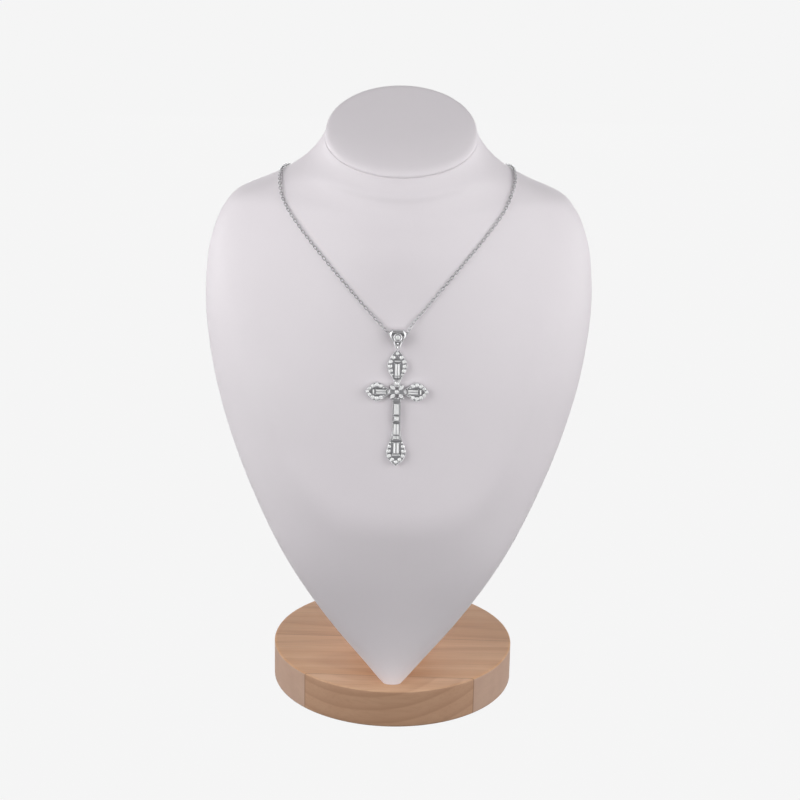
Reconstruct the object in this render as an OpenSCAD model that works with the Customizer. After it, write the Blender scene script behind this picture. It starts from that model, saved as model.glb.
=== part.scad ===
// Cross pendant on a fine chain, laid on its neck bust with a round wooden base.
// Millimetres. Origin at the centre of the underside of the base, front is -Y,
// up is +Z. The chain goes once round the neck and through the bail; the bail
// swings on the chain and the cross swings on the bar at the foot of the bail.

/* [Base] */
// Diameter of the wooden base
base_d = 149; // [146:1:156]
// Thickness of the wooden base
base_t = 24; // [23:0.5:24]
// Rounding of the edges of the base
base_edge = 1.2; // [0.5:0.1:3]

/* [Neck bust] */
// Width of the bust at the shoulders
bust_w = 232; // [231:0.5:234]
// Forward tilt of the top of the neck, degrees
neck_tilt = 23; // [20:0.5:25]
// Height of the top of the neck on the upright axis
neck_top = 349; // [347:0.5:351]
// Thickness of the board that closes the neck
cap_t = 4.5; // [3:0.5:6]
// Backward lean of the chest panel where the pendant lies, degrees
chest_lean = 9; // [8.5:0.25:9.5]

/* [Chain and clasp] */
// Outer diameter of the chain
chain_d = 1.9; // [1.4:0.1:2]
// Length of the clasp
clasp_l = 10; // [8:0.5:10]
// Diameter of the clasp
clasp_d = 3.6; // [3:0.1:3.8]

/* [Bail] */
// Outer radius of the loop of the bail, round the chain
bail_r = 2.8; // [2.7:0.05:2.8]
// Inner radius of the loop of the bail
bail_bore_r = 2.15; // [2.05:0.05:2.2]
// Distance from the chain to the bar at the foot of the bail
bail_l = 7.8; // [7.6:0.1:8.2]
// Diameter of the bar that carries the cross
bar_d = 0.9; // [0.7:0.05:1]
// Diameter of the round stone in the bail
bail_stone_d = 3.5; // [3:0.1:3.6]

/* [Cross] */
// Distance from the bar to the centre of the cross
centre_drop = 26; // [25.5:0.1:26.5]
// Thickness of the back plate
plate_t = 1.5; // [1.2:0.1:1.7]
// Height of the rim above the back plate
rim_h = 0.5; // [0.3:0.1:0.7]
// Height of the stone frames above the back plate
seat_h = 1.1; // [0.8:0.1:1.2]
// Width of the rim
rim_w = 0.4; // [0.3:0.05:0.5]
// Radius of the wire of the top ring
ring_wire_r = 0.42; // [0.35:0.01:0.44]

/* [Hidden] */

WOOD = [0.72, 0.58, 0.46];
COVER = [0.90, 0.88, 0.90];
METAL = [0.80, 0.80, 0.82];
STONE = [0.86, 0.92, 0.96];

gap = 0.1;            // between pieces that rest on each other
seat_gap = 0.04;      // round a stone in its seat

// ---------------------------------------------------------------- bust form
// One row for each height. The front is the chest panel cut off by the outer
// bevel; where the two meet is the U-shaped crease.
// z: height. half_w: half width. edge: y of the widest line. bevel, bevel_n: how
// far forward the bevel would reach and how square it is. panel: y of the panel
// on the centre line. neck: how far the neck stands out of the panel. round:
// radius of the panel across. back, back_n: the back, and how square it is.
// soft: how soft the crease is.
Z = 0; HALF_W = 1; EDGE = 2; BEVEL = 3; BEVEL_N = 4; PANEL = 5; NECK = 6; ROUND = 7; BACK = 8; BACK_N = 9; SOFT = 10;
BUST = [
//  z    half_w edge bevel bevel_n panel neck round back back_n soft
  [ 24,   6,    -60, -65.5, 2.4,  -93,   0,  400,  38,  8,    6],
  [ 27,   9,  -58.5, -65.5, 2.5,  -91.5, 0,  400,  38.5, 7.5, 6],
  [ 34,  15.4, -55.5, -65.5, 2.6, -89.5, 0,  400,  39,  7,    6],
  [ 60,  38.7,  -45, -68,   2.8,  -87,   0,  380,  41,  6,    4],
  [ 96,  65,    -31, -73.5, 2.8,  -83,   0,  340,  42,  5,    2.5],
  [135,  87,    -14, -78.5, 2.4,  -78,   0,  300,  42,  5,    2.2],
  [172, 102.5,   -2, -81,   2.15, -72,   0,  300,  42,  5,    2.5],
  [217, 113.5,    7, -79,   2.1,  -65,   0,  300,  42,  5,    3.5],
  [258, 116,     12, -73,   2,    -58,   6,  300,  42,  4.5, 7],
  [286, 111.5,   14, -62,   2,   -52.5, 15,  300,  42,  4,   13],
  [300, 105.4,   14, -53,   2,   -49.5, 22,  310,  42,  3.4, 16],
  [311,  95.4, 13.5, -48,   2,    -47,  28,  325,  42.3, 2.8, 18],
  [319,  78,     12, -45,   2,    -45,  35,  340,  43,  2.4, 18],
  [330,  58.6,    8, -41.5, 2,    -43,  36,  340,  44.5, 2.1, 14],
  [342,  47,    5.5, -34.5, 2,    -51,  20,  340,  46,  2,    8],
  [352,  44,      5, -31.5, 2,    -58,   8,  340,  46.5, 2,   6],
  [372,  44,      5, -31.5, 2,    -62,   0,  340,  46.5, 2,   6]];
neck_w = 43;                      // half width of the neck where it leaves the panel
bust_foot = base_t + gap;
w_scale = bust_w / 232;

// Smooth curve through the rows of a table, by its first column
function step_of(t, i) = t[i + 1][0] - t[i][0];
function rise_of(t, i) = (t[i + 1] - t[i]) / step_of(t, i);
function slope_at(t, i) =
    i == 0 ? rise_of(t, 0) :
    i == len(t) - 1 ? rise_of(t, i - 1) :
    (rise_of(t, i - 1) * step_of(t, i) + rise_of(t, i) * step_of(t, i - 1)) / (step_of(t, i) + step_of(t, i - 1));
function slopes(t) = [for (i = [0 : len(t) - 1]) slope_at(t, i)];
function row_index(t, v, i = 0) = (i >= len(t) - 2 || v < t[i + 1][0]) ? i : row_index(t, v, i + 1);
function row_at(t, m, v) =
    let (c = min(max(v, t[0][0]), t[len(t) - 1][0]),
         i = row_index(t, c), h = step_of(t, i), s = (c - t[i][0]) / h)
    t[i] * (2*s*s*s - 3*s*s + 1) + m[i] * (h * (s*s*s - 2*s*s + s))
    + t[i + 1] * (3*s*s - 2*s*s*s) + m[i + 1] * (h * (s*s*s - s*s));
BUST_SLOPES = slopes(BUST);
function bust_row(z) = row_at(BUST, BUST_SLOPES, z);

function dome(u, n) = pow(max(1 - pow(abs(u), n), 0), 1 / n);
// Front and back of the bust in row r, at u from -1 at the left edge to 1
function front_y(u, r) =
    let (x = u * r[HALF_W] * w_scale,
         a = r[EDGE] - (r[EDGE] - r[BEVEL]) * dome(u, r[BEVEL_N]),
         b = r[PANEL] + r[NECK] * (1 - exp(-x * x / (2 * neck_w * neck_w))) + x * x / (2 * r[ROUND]),
         h = max(r[SOFT] - abs(a - b), 0) / r[SOFT])
    min(max(a, b) + h * h * r[SOFT] / 4, r[EDGE]);
function back_y(u, r) = r[EDGE] + (r[BACK] - r[EDGE]) * dome(u, r[BACK_N]);

// Sections: the upper ones tilt forward step by step, up to the neck's own tilt
FRONT_PTS = 38;
BACK_PTS = 14;
neck_seam = neck_top - cap_t / cos(neck_tilt);
tilt_from = 284;
round_from = 313;                 // from here up a whole section takes more and more one row
function eased(v, from) = let (s = min(max((v - from) / (neck_seam - from), 0), 1)) s * s * (3 - 2 * s);
function tilt_at(zc) = neck_tilt * eased(zc, tilt_from);
function on_section(u, back, zc, tt, w, y, k) =
    let (r = bust_row(zc + ((1 - w) * y + w * 6) * tt), yn = back ? back_y(u, r) : front_y(u, r))
    k == 0 ? [u * r[HALF_W] * w_scale, yn, zc + yn * tt] : on_section(u, back, zc, tt, w, yn, k - 1);
// The points of one section, pulled in by inset towards the axis
function section(zc, inset = 0) =
    let (tt = tan(tilt_at(zc)), w = eased(zc, round_from), k = tt == 0 ? 0 : 6)
    [for (p = concat(
        [for (i = [0 : FRONT_PTS]) on_section(sin(-90 + 180 * i / FRONT_PTS), false, zc, tt, w, -30, k)],
        [for (i = [1 : BACK_PTS - 1]) on_section(sin(90 - 180 * i / BACK_PTS), true, zc, tt, w, 30, k)]))
        let (f = inset / max(norm([p[0], p[1]]), 1)) [p[0] * (1 - f), p[1] * (1 - f), zc + p[1] * (1 - f) * tt]];

// Closed solid through rings of n points each
module skin(rings) {
    n = len(rings[0]);
    m = len(rings);
    polyhedron(
        points = [for (r = rings) each r],
        faces = concat(
            [[for (j = [0 : n - 1]) j]],
            [[for (j = [0 : n - 1]) (m - 1) * n + n - 1 - j]],
            [for (i = [0 : m - 2], j = [0 : n - 1], t = [0, 1])
                let (a = i * n + j, b = i * n + (j + 1) % n)
                t == 0 ? [a, a + n, b] : [b, a + n, b + n]]),
        convexity = 6);
}

BUST_STEPS = 46;
BUST_LEVELS = concat([bust_foot, bust_foot + 1, bust_foot + 2.5],
    [for (i = [0 : BUST_STEPS]) bust_foot + 5 + (neck_seam - gap / 2 - bust_foot - 6) * i / BUST_STEPS]);

module base() {
    color(WOOD)
    rotate_extrude($fn = 96) {
        square([base_d / 2 - base_edge, base_t]);
        translate([0, base_edge]) square([base_d / 2, base_t - 2 * base_edge]);
        for (z = [base_edge, base_t - base_edge])
            translate([base_d / 2 - base_edge, z]) circle(r = base_edge, $fn = 32);
    }
}

module bust() {
    color(COVER)
    skin(concat([for (z = BUST_LEVELS) section(z)],
                [section(neck_seam - gap / 2 - 0.4, 0.3), section(neck_seam - gap / 2, 0.9)]));
}

// Covered board on the neck, with rounded edges
module neck_cap() {
    color(COVER)
    skin([section(neck_seam + gap / 2, 0.9), section(neck_seam + gap / 2 + 0.4, 0.3),
          section(neck_seam + 1.2), section(neck_top - 1.6), section(neck_top - 0.7, 0.35),
          section(neck_top - 0.2, 1), section(neck_top, 2)]);
}

// --------------------------------------------------------- where things hang
bail_at = [0, -63.4, 246.5];      // chain centre inside the bail
// Places children drawn flat, face to -Y, on the lean of the chest
module on_chest(drop = 0) {
    translate(bail_at) rotate([-chest_lean, 0, 0]) translate([0, 0, -drop]) children();
}
function chest_point(x, v) = bail_at + [x, v * sin(chest_lean), v * cos(chest_lean)];

// ------------------------------------------------------------------- chain
// Half of the route, from the bail to the clasp; the other half mirrors it, but
// the whole lies a little to one side on the neck.
chain_aside = -2.8;
function aside(z) = chain_aside * sqrt(min(max((z - 244) / 50, 0), 1));
// In the bail: x, height over the chain's centre there
ROUTE_BAIL = [[0, -0.7], [2.6, -0.35], [5, 0.6]];
// On the front: x, z, distance from the cover to the chain's centre
ROUTE_FRONT = [[8.8, 251, 2.4], [14.4, 257, 1.5], [25.8, 269.5, 1.35], [39.5, 284, 1.35], [53.6, 298.5, 1.35], [63, 309.5, 1.35], [66, 314.5, 1.35]];
// Over the ridge of the shoulder: x, y, distance
ROUTE_RIDGE = [[68.6, -4, 1.4], [68.6, 5, 1.4], [67.8, 15, 1.4], [65, 25, 1.4], [59, 33.5, 1.4]];
// Behind the neck: x, z, distance
ROUTE_BACK = [[46, 318, 1.5], [30, 316.5, 1.5], [13, 316, 2]];
clasp_z = 316;

function cover_y(x, z, back) = let (r = bust_row(z), u = min(max(x / (r[HALF_W] * w_scale), -1), 1))
    back ? back_y(u, r) : front_y(u, r);
// Point at distance d from the cover, along its normal
function off_cover(x, z, d, back = false) =
    let (h = 0.4, s = back ? -1 : 1,
         gx = (cover_y(x + h, z, back) - cover_y(x - h, z, back)) / (2 * h),
         gz = (cover_y(x, z + h, back) - cover_y(x, z - h, back)) / (2 * h),
         n = s * [gx, -1, gz])
    [x, cover_y(x, z, back), z] + n * (d / norm(n));

// Height of the cover by the ridge, found by halving, at x, y; then its section's own height there
function ridge_row(x, y, lo = 305, hi = 342, k = 22) =
    let (z = (lo + hi) / 2, r = bust_row(z), front = y < r[EDGE], n = front ? r[BEVEL_N] : r[BACK_N],
         t = (y - r[EDGE]) / ((front ? r[BEVEL] : r[BACK]) - r[EDGE]),
         reach = r[HALF_W] * w_scale * pow(max(1 - pow(t, n), 0), 1 / n))
    k == 0 ? z : reach > abs(x) ? ridge_row(x, y, z, hi, k - 1) : ridge_row(x, y, lo, z, k - 1);
function section_of(zr, y, zc, k = 8) = k == 0 ? zc :
    let (w = eased(zc, round_from)) section_of(zr, y, zr - ((1 - w) * y + w * 6) * tan(tilt_at(zc)), k - 1);
function ridge_z(x, y) = let (zr = ridge_row(x, y), zc = section_of(zr, y, zr)) zc + y * tan(tilt_at(zc));
function off_ridge(x, y, d) =
    let (h = 0.4,
         n = [ridge_z(x - h, y) - ridge_z(x + h, y), ridge_z(x, y - h) - ridge_z(x, y + h), 2 * h])
    [x, y, ridge_z(x, y)] + n * (d / norm(n));

clasp_y = cover_y(0, clasp_z, true) + clasp_d / 2 + 0.4;
function half_route(s) = concat(
    [for (p = ROUTE_BAIL) chest_point(s * p[0], p[1])],
    [for (p = ROUTE_FRONT) off_cover(s * p[0] + aside(p[1]), p[1], p[2])],
    [for (p = ROUTE_RIDGE) off_ridge(s * p[0] + chain_aside * 0.65, p[1], p[2])],
    [for (p = ROUTE_BACK) off_cover(s * p[0], p[1], p[2], true)],
    [[s * (clasp_l / 2 + gap), clasp_y, clasp_z]]);
HALF_ROUTES = [half_route(-1), half_route(1)];
ROUTE = concat([for (i = [len(HALF_ROUTES[0]) - 1 : -1 : 1]) HALF_ROUTES[0][i]], HALF_ROUTES[1]);

// Length along the straight lines between the points, then x, y, z
function run(p, i = 0, d = 0) = i == len(p) ? [] :
    let (e = i == 0 ? 0 : d + norm(p[i] - p[i - 1])) concat([concat([e], p[i])], run(p, i + 1, e));
// Points along the smooth route, at least two to each stretch
function along(p) =
    let (t = run(p), m = slopes(t))
    concat([for (i = [0 : len(t) - 2]) let (h = step_of(t, i), k = max(2, round(h / 6)))
        for (j = [0 : k - 1]) let (r = row_at(t, m, t[i][0] + h * j / k)) [r[1], r[2], r[3]]],
        [p[len(p) - 1]]);
function unit(v) = v / norm(v);
function tangent(p, i) = unit(p[min(i + 1, len(p) - 1)] - p[max(i - 1, 0)]);
// One normal for each point, turned as little as the route allows
function carried(p, i, n) = i == len(p) ? [] :
    let (t = tangent(p, i), a = unit(n - t * (n * t))) concat([a], carried(p, i + 1, a));

module tube(p, d, sides = 8) {
    n = carried(p, 0, [0, 0, 1]);
    skin([for (i = [0 : len(p) - 1]) let (t = tangent(p, i), b = cross(t, n[i]))
        [for (k = [0 : sides - 1]) p[i] + d / 2 * (cos(360 * k / sides) * n[i] - sin(360 * k / sides) * b)]]);
}

module chain() {
    color(METAL) tube(along(ROUTE), chain_d);
}

// Plain barrel with stepped ends
module clasp() {
    color(METAL) translate([0, clasp_y, clasp_z]) rotate([0, 90, 0]) {
        cylinder(d = clasp_d, h = clasp_l - 2, center = true, $fn = 32);
        cylinder(d = 2.4, h = clasp_l, center = true, $fn = 32);
    }
}

// -------------------------------------------------------------------- bail
// Two round ends joined by their tangents: r1 at 0, r2 a length l below
module drop_profile(r1, r2, l) {
    b = asin((r1 - r2) / l);
    circle(r = r1, $fn = 48);
    translate([0, -l]) circle(r = r2, $fn = 32);
    polygon([for (s = [1, -1], q = s > 0 ? [[r1, 0], [r2, l]] : [[r2, l], [r1, 0]])
        [s * q[0] * cos(b), -q[1] - q[0] * sin(b)]]);
}
module side_extrude(w) { rotate([90, 0, 90]) linear_extrude(w, center = true) children(); }
// Flat shape in x and z, from y = from towards the front by t
module face_extrude(from, t) { translate([0, from, 0]) rotate([90, 0, 0]) linear_extrude(t) children(); }

// Half width of the bail seen from the front: v, half width
BAIL_OUTLINE = [[-8.9, 1.15], [-7, 1.5], [-5.2, 2.3], [-3.4, 3.3], [-1.6, 4.2], [0.2, 4.65], [1.8, 4.5], [2.9, 3.8]];
band_w = 1;
bezel_r = 2.55;
bezel_v = -1.6;
slot_w = 1.5;                     // room for the top ring of the cross
// Symmetric outline through rows of height and half width, a little smaller by inset
function outline(rows, inset = 0, per = 4) =
    let (m = slopes(rows), n = per * (len(rows) - 1), a = rows[0][0] + inset, b = rows[len(rows) - 1][0] - inset)
    [for (s = [1, -1], i = [0 : n]) let (v = s > 0 ? a + (b - a) * i / n : b + (a - b) * i / n, r = row_at(rows, m, v))
        [s * max(r[1] - inset, 0.02), v]];

module bail() {
    color(METAL) on_chest() {
        difference() {
            union() {
                intersection() {
                    difference() {
                        side_extrude(12) drop_profile(bail_r, 0.95, bail_l);
                        side_extrude(13) drop_profile(bail_bore_r, 0.45, bail_l - 1.5);
                    }
                    face_extrude(6, 12) polygon(outline(BAIL_OUTLINE));
                }
                // bezel, clear of the chain's bore
                difference() {
                    translate([0, -1.6, bezel_v]) rotate([90, 0, 0]) cylinder(r = bezel_r, h = 1.9, $fn = 48);
                    side_extrude(13) drop_profile(bail_bore_r, 0.45, bail_l - 1.5);
                }
                translate([0, -1.4, -5.1]) rotate([90, 0, 0]) cylinder(r = 0.65, h = 1, $fn = 24);
            }
            // windows in the front face, each side of the bezel
            difference() {
                face_extrude(-1, 3) intersection() {
                    polygon(outline(BAIL_OUTLINE, band_w));
                    translate([0, -1.9]) square([9, 4.6], center = true);
                }
                translate([0, 0, bezel_v]) rotate([90, 0, 0]) cylinder(r = bezel_r, h = 6, $fn = 48);
                translate([-0.8, -6, -6]) cube([1.6, 6, 8]);
            }
            // seat of the stone
            translate([0, -2.35, bezel_v]) rotate([90, 0, 0]) cylinder(d = bail_stone_d + 2 * seat_gap, h = 3, $fn = 48);
            // slot for the top ring
            translate([0, 0, -bail_l]) rotate([0, 90, 0]) cylinder(r = 1.85, h = slot_w, center = true, $fn = 48);
        }
        translate([0, 0, -bail_l]) rotate([0, 90, 0]) cylinder(d = bar_d, h = 2.1, center = true, $fn = 24);
    }
}

// Round stone: girdle, crown and table, face to -Y
module round_stone(d, t) {
    rotate([90, 0, 0]) {
        cylinder(d = d, h = t * 0.45, $fn = 32);
        translate([0, 0, t * 0.45]) cylinder(d1 = d, d2 = d * 0.6, h = t * 0.55, $fn = 32);
    }
}
module bail_stone() {
    color(STONE) on_chest() translate([0, -2.4, bezel_v]) round_stone(bail_stone_d, 1.3);
}

// ------------------------------------------------------------------- cross
back_face = 2.65;                 // back of the cross, behind the bar's axis
plate_y = back_face - plate_t;    // front of the back plate
seat_floor = plate_y + 0.35;      // floor of the stone seats
stone_t = plate_t * 0.2 + seat_h; // height of the long stones
module on_cross() { on_chest(bail_l + centre_drop) children(); }

// Lobe outlines, from the centre of the cross outward: distance, half width
TOP_LOBE = [[6.9, 2.3], [9, 3.3], [11, 4.6], [13.2, 5.5], [15.4, 5.75], [17.5, 5.3], [19.6, 4.3], [21.6, 3], [23.4, 1.6], [24.7, 0.45]];
ARM_LOBE = [[4.2, 1.6], [6, 2.4], [8, 4.1], [10, 5.2], [11.8, 5.5], [13.5, 5], [15.3, 3.7], [16.8, 2.1], [18.2, 0.25]];
BOTTOM_LOBE = [[23, 2.55], [26, 2.9], [29.5, 3.9], [33, 5.1], [36.3, 5.75], [38.6, 5.1], [40.6, 3.7], [42.3, 1.9], [43.4, 0.3]];

// Stones with straight sides: centre u, v, then width and height on the face
TOP_BAR = [0, 17.9, 3.3, 0.9];
TOP_BAGUETTE = [0.75, 12.9, 1.25, 7];
ARM_BAGUETTE = [9.2, 0.72, 5.8, 1.2];
ARM_END = [13.6, 0, 0.9, 2.6];
ARM_COLLAR = [5.05, 0, 0.7, 2.4];
SHAFT_BAGUETTE = [0, -10.15, 3.1, 6.3];
SHAFT_SQUARE = [0, -15.75, 3.1, 2.8];
FOOT_SQUARE = [0.98, -26.75, 1.7, 2];
BOTTOM_BAGUETTE = [0.95, -33, 1.35, 6.4];
BOTTOM_BAR = [0, -37.2, 4.6, 0.8];
// Tapered stone: inner edge u, top v, bottom v, top width, bottom width
TAPER = [0.1, -18.7, -25.1, 1.35, 1.75];
collar_at = [0, 4.75];
collar_d = 2.2;
petal_at = [2.5, 2.5];
petal_size = [3.6, 2.2];          // length, width
centre_d = 2.1;
wall = 0.35;                      // metal round the stones

module slab(s, grow = 0) { translate([s[0], s[1]]) square([s[2] + 2 * grow, s[3] + 2 * grow], center = true); }
module taper_face(side, grow = 0) {
    polygon([for (q = [[TAPER[0] - grow, TAPER[1] + grow], [TAPER[0] + TAPER[3] + grow, TAPER[1] + grow],
                       [TAPER[0] + TAPER[4] + grow, TAPER[2] - grow], [TAPER[0] - grow, TAPER[2] - grow]]) [side * q[0], q[1]]]);
}
// Pointed oval, the length along x
module petal_face(grow = 0) {
    l = petal_size[0] / 2 + grow;
    w = petal_size[1] / 2 + grow;
    r = (l * l + w * w) / (2 * w);
    intersection() {
        translate([0, r - w]) circle(r = r, $fn = 64);
        translate([0, w - r]) circle(r = r, $fn = 64);
    }
}
// Shape of one lobe on the face, pointing along +x turned by a
module lobe_face(rows, a, inset = 0) {
    rotate(a - 90) polygon(outline(rows, inset));
}
module lobe(rows, a) {
    face_extrude(back_face, plate_t) lobe_face(rows, a);
    difference() {
        face_extrude(plate_y + 0.1, rim_h + 0.1) lobe_face(rows, a);
        face_extrude(plate_y + 0.2, rim_h + 0.5) lobe_face(rows, a, rim_w);
    }
}
// Raised block that holds stones
module block(x0, x1, v0, v1, h) { face_extrude(plate_y + 0.1, h + 0.1) translate([x0, v0]) square([x1 - x0, v1 - v0]); }
// Room for a stone
module seat() { face_extrude(seat_floor, 5) children(); }

module cross_frame() {
    color(METAL) on_cross() {
        difference() {
            union() {
                lobe(TOP_LOBE, 90);
                lobe(ARM_LOBE, 0);
                lobe(ARM_LOBE, 180);
                lobe(BOTTOM_LOBE, -90);
                // middle and shaft
                face_extrude(back_face, plate_t + 0.5) {
                    translate([-2.1, 3.2]) square([4.2, 4.2]);
                    square([9.4, 3.1], center = true);
                    translate([-2.15, -24]) square([4.3, 21]);
                }
                for (a = [45 : 90 : 315])
                    face_extrude(back_face, plate_t + 0.5) rotate(a) translate([norm(petal_at), 0]) petal_face(wall);
                face_extrude(back_face, plate_t + 0.9) circle(d = 3, $fn = 32);
                // frames round the stones
                block(-2.45, 2.45, 7.6, 19.3, seat_h);
                for (s = [1, -1]) {
                    block(min(s * 4.3, s * 14.5), max(s * 4.3, s * 14.5), -1.75, 1.75, seat_h);
                }
                block(-2.15, 2.15, -18.3, -5.9, seat_h);
                block(-2.35, 2.35, -28.4, -17.9, seat_h);
                block(-2.75, 2.75, -38.1, -28, seat_h);
            }
            // seats
            seat() {
                slab(TOP_BAR, seat_gap);
                translate([collar_at[0], collar_at[1]]) circle(d = collar_d + 2 * seat_gap, $fn = 32);
                circle(d = centre_d + 2 * seat_gap, $fn = 32);
                slab(SHAFT_BAGUETTE, seat_gap);
                slab(SHAFT_SQUARE, seat_gap);
                slab(BOTTOM_BAR, seat_gap);
                for (s = [1, -1]) {
                    slab([s * TOP_BAGUETTE[0], TOP_BAGUETTE[1], TOP_BAGUETTE[2], TOP_BAGUETTE[3]], seat_gap);
                    slab([s * FOOT_SQUARE[0], FOOT_SQUARE[1], FOOT_SQUARE[2], FOOT_SQUARE[3]], seat_gap);
                    slab([s * BOTTOM_BAGUETTE[0], BOTTOM_BAGUETTE[1], BOTTOM_BAGUETTE[2], BOTTOM_BAGUETTE[3]], seat_gap);
                    slab([s * ARM_END[0], ARM_END[1], ARM_END[2], ARM_END[3]], seat_gap);
                    slab([s * ARM_COLLAR[0], ARM_COLLAR[1], ARM_COLLAR[2], ARM_COLLAR[3]], seat_gap);
                    for (q = [1, -1]) slab([s * ARM_BAGUETTE[0], q * ARM_BAGUETTE[1], ARM_BAGUETTE[2], ARM_BAGUETTE[3]], seat_gap);
                    taper_face(s, seat_gap);
                }
                for (a = [45 : 90 : 315]) rotate(a) translate([norm(petal_at), 0]) petal_face(seat_gap);
            }
        }
        // top ring on the bar of the bail, and the neck that carries it
        translate([0, 0, centre_drop]) {
            rotate([0, 90, 0]) rotate_extrude($fn = 48) translate([1.15, 0]) circle(r = ring_wire_r, $fn = 24);
            translate([-ring_wire_r, -0.4, -2.3]) cube([2 * ring_wire_r, back_face - 0.6, 0.9]);
        }
    }
}

// Step-cut stone: straight girdle under a bevelled crown
module step_stone(s) {
    b = 0.22;
    face_extrude(seat_floor - seat_gap, stone_t - b) slab(s);
    face_extrude(seat_floor - seat_gap, stone_t - b / 2) slab(s, -b / 2);
    face_extrude(seat_floor - seat_gap, stone_t) slab(s, -b);
}
module mirrored(s, side, q = 1) { color(STONE) on_cross() step_stone([side * s[0], q * s[1], s[2], s[3]]); }

module top_bar_stone() { mirrored(TOP_BAR, 1); }
module top_baguette_left() { mirrored(TOP_BAGUETTE, -1); }
module top_baguette_right() { mirrored(TOP_BAGUETTE, 1); }
module collar_stone() { color(STONE) on_cross() translate([collar_at[0], seat_floor - seat_gap, collar_at[1]]) round_stone(collar_d, 1.3); }
module left_baguette_upper() { mirrored(ARM_BAGUETTE, -1, 1); }
module left_baguette_lower() { mirrored(ARM_BAGUETTE, -1, -1); }
module left_end_stone() { mirrored(ARM_END, -1); }
module left_collar_stone() { mirrored(ARM_COLLAR, -1); }
module right_baguette_upper() { mirrored(ARM_BAGUETTE, 1, 1); }
module right_baguette_lower() { mirrored(ARM_BAGUETTE, 1, -1); }
module right_end_stone() { mirrored(ARM_END, 1); }
module right_collar_stone() { mirrored(ARM_COLLAR, 1); }
module centre_stone() { color(STONE) on_cross() translate([0, seat_floor - seat_gap, 0]) round_stone(centre_d, 1.7); }
module petal(a) {
    color(STONE) on_cross() {
        face_extrude(seat_floor - seat_gap, 0.8) rotate(a) translate([norm(petal_at), 0]) petal_face();
        face_extrude(seat_floor - seat_gap, 1.1) rotate(a) translate([norm(petal_at), 0]) petal_face(-0.25);
    }
}
module petal_upper_right() { petal(45); }
module petal_upper_left() { petal(135); }
module petal_lower_left() { petal(225); }
module petal_lower_right() { petal(315); }
module shaft_baguette() { mirrored(SHAFT_BAGUETTE, 1); }
module shaft_square_stone() { mirrored(SHAFT_SQUARE, 1); }
module taper(side) {
    b = 0.22;
    color(STONE) on_cross() {
        face_extrude(seat_floor - seat_gap, stone_t - b) taper_face(side);
        face_extrude(seat_floor - seat_gap, stone_t) taper_face(side, -b);
    }
}
module taper_left() { taper(-1); }
module taper_right() { taper(1); }
module foot_square_left() { mirrored(FOOT_SQUARE, -1); }
module foot_square_right() { mirrored(FOOT_SQUARE, 1); }
module bottom_baguette_left() { mirrored(BOTTOM_BAGUETTE, -1); }
module bottom_baguette_right() { mirrored(BOTTOM_BAGUETTE, 1); }
module bottom_bar_stone() { mirrored(BOTTOM_BAR, 1); }

base();
bust();
neck_cap();
chain();
clasp();
bail();
bail_stone();
cross_frame();
top_bar_stone();
top_baguette_left();
top_baguette_right();
collar_stone();
left_baguette_upper();
left_baguette_lower();
left_end_stone();
left_collar_stone();
right_baguette_upper();
right_baguette_lower();
right_end_stone();
right_collar_stone();
centre_stone();
petal_upper_left();
petal_upper_right();
petal_lower_left();
petal_lower_right();
shaft_baguette();
shaft_square_stone();
taper_left();
taper_right();
foot_square_left();
foot_square_right();
bottom_baguette_left();
bottom_baguette_right();
bottom_bar_stone();
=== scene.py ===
import math
import random

import bmesh
import bpy
import numpy as np
from mathutils import Matrix, Vector
from mathutils.bvhtree import BVHTree


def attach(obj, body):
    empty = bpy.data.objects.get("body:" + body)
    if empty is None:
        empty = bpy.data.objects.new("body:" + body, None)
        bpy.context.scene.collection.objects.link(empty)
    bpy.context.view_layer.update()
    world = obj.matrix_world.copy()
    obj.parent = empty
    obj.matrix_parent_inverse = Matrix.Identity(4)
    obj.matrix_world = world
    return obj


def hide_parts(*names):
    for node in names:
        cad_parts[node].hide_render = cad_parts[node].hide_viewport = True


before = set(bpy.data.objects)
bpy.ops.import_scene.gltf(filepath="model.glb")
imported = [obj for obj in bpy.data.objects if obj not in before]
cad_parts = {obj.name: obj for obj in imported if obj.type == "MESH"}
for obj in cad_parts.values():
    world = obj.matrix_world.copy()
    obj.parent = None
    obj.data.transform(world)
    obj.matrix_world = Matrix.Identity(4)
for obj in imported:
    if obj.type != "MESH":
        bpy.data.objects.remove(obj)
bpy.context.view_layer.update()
MM = 0.001
rng = random.Random(7)

# ------------------------------------------------------------------ camera
# 100 mm lens, 19.7 degrees above the horizon, rolled by one degree
cam_data = bpy.data.cameras.new("camera")
cam_data.lens = 100.0
cam_data.sensor_width = 36.0
cam_data.sensor_fit = "HORIZONTAL"
cam_data.clip_start = 0.05
cam_data.clip_end = 60.0
cam_data.shift_x = 0.004
cam = bpy.data.objects.new("camera", cam_data)
bpy.context.scene.collection.objects.link(cam)
eye = Vector((0.0, -1.2740, 0.6399))
aim = Vector((0.0, 0.0, 0.18373))
fwd = (aim - eye).normalized()
right0 = Vector((1, 0, 0))
up0 = right0.cross(fwd)
ROLL = math.radians(1.0)
right = right0 * math.cos(ROLL) + up0 * math.sin(ROLL)
up = up0 * math.cos(ROLL) - right0 * math.sin(ROLL)
m = Matrix.Identity(4)
for r in range(3):
    m[r][0], m[r][1], m[r][2], m[r][3] = right[r], up[r], -fwd[r], eye[r]
cam.matrix_world = m
bpy.context.scene.camera = cam

# ---------------------------------------------------- smooth curves by rows


def slopes(t):
    h = np.diff(t[:, 0])
    d = np.diff(t, axis=0) / h[:, None]
    out = np.empty_like(t)
    out[0], out[-1] = d[0], d[-1]
    out[1:-1] = (d[:-1] * h[1:, None] + d[1:] * h[:-1, None]) / (h[1:] + h[:-1])[:, None]
    return out


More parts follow.
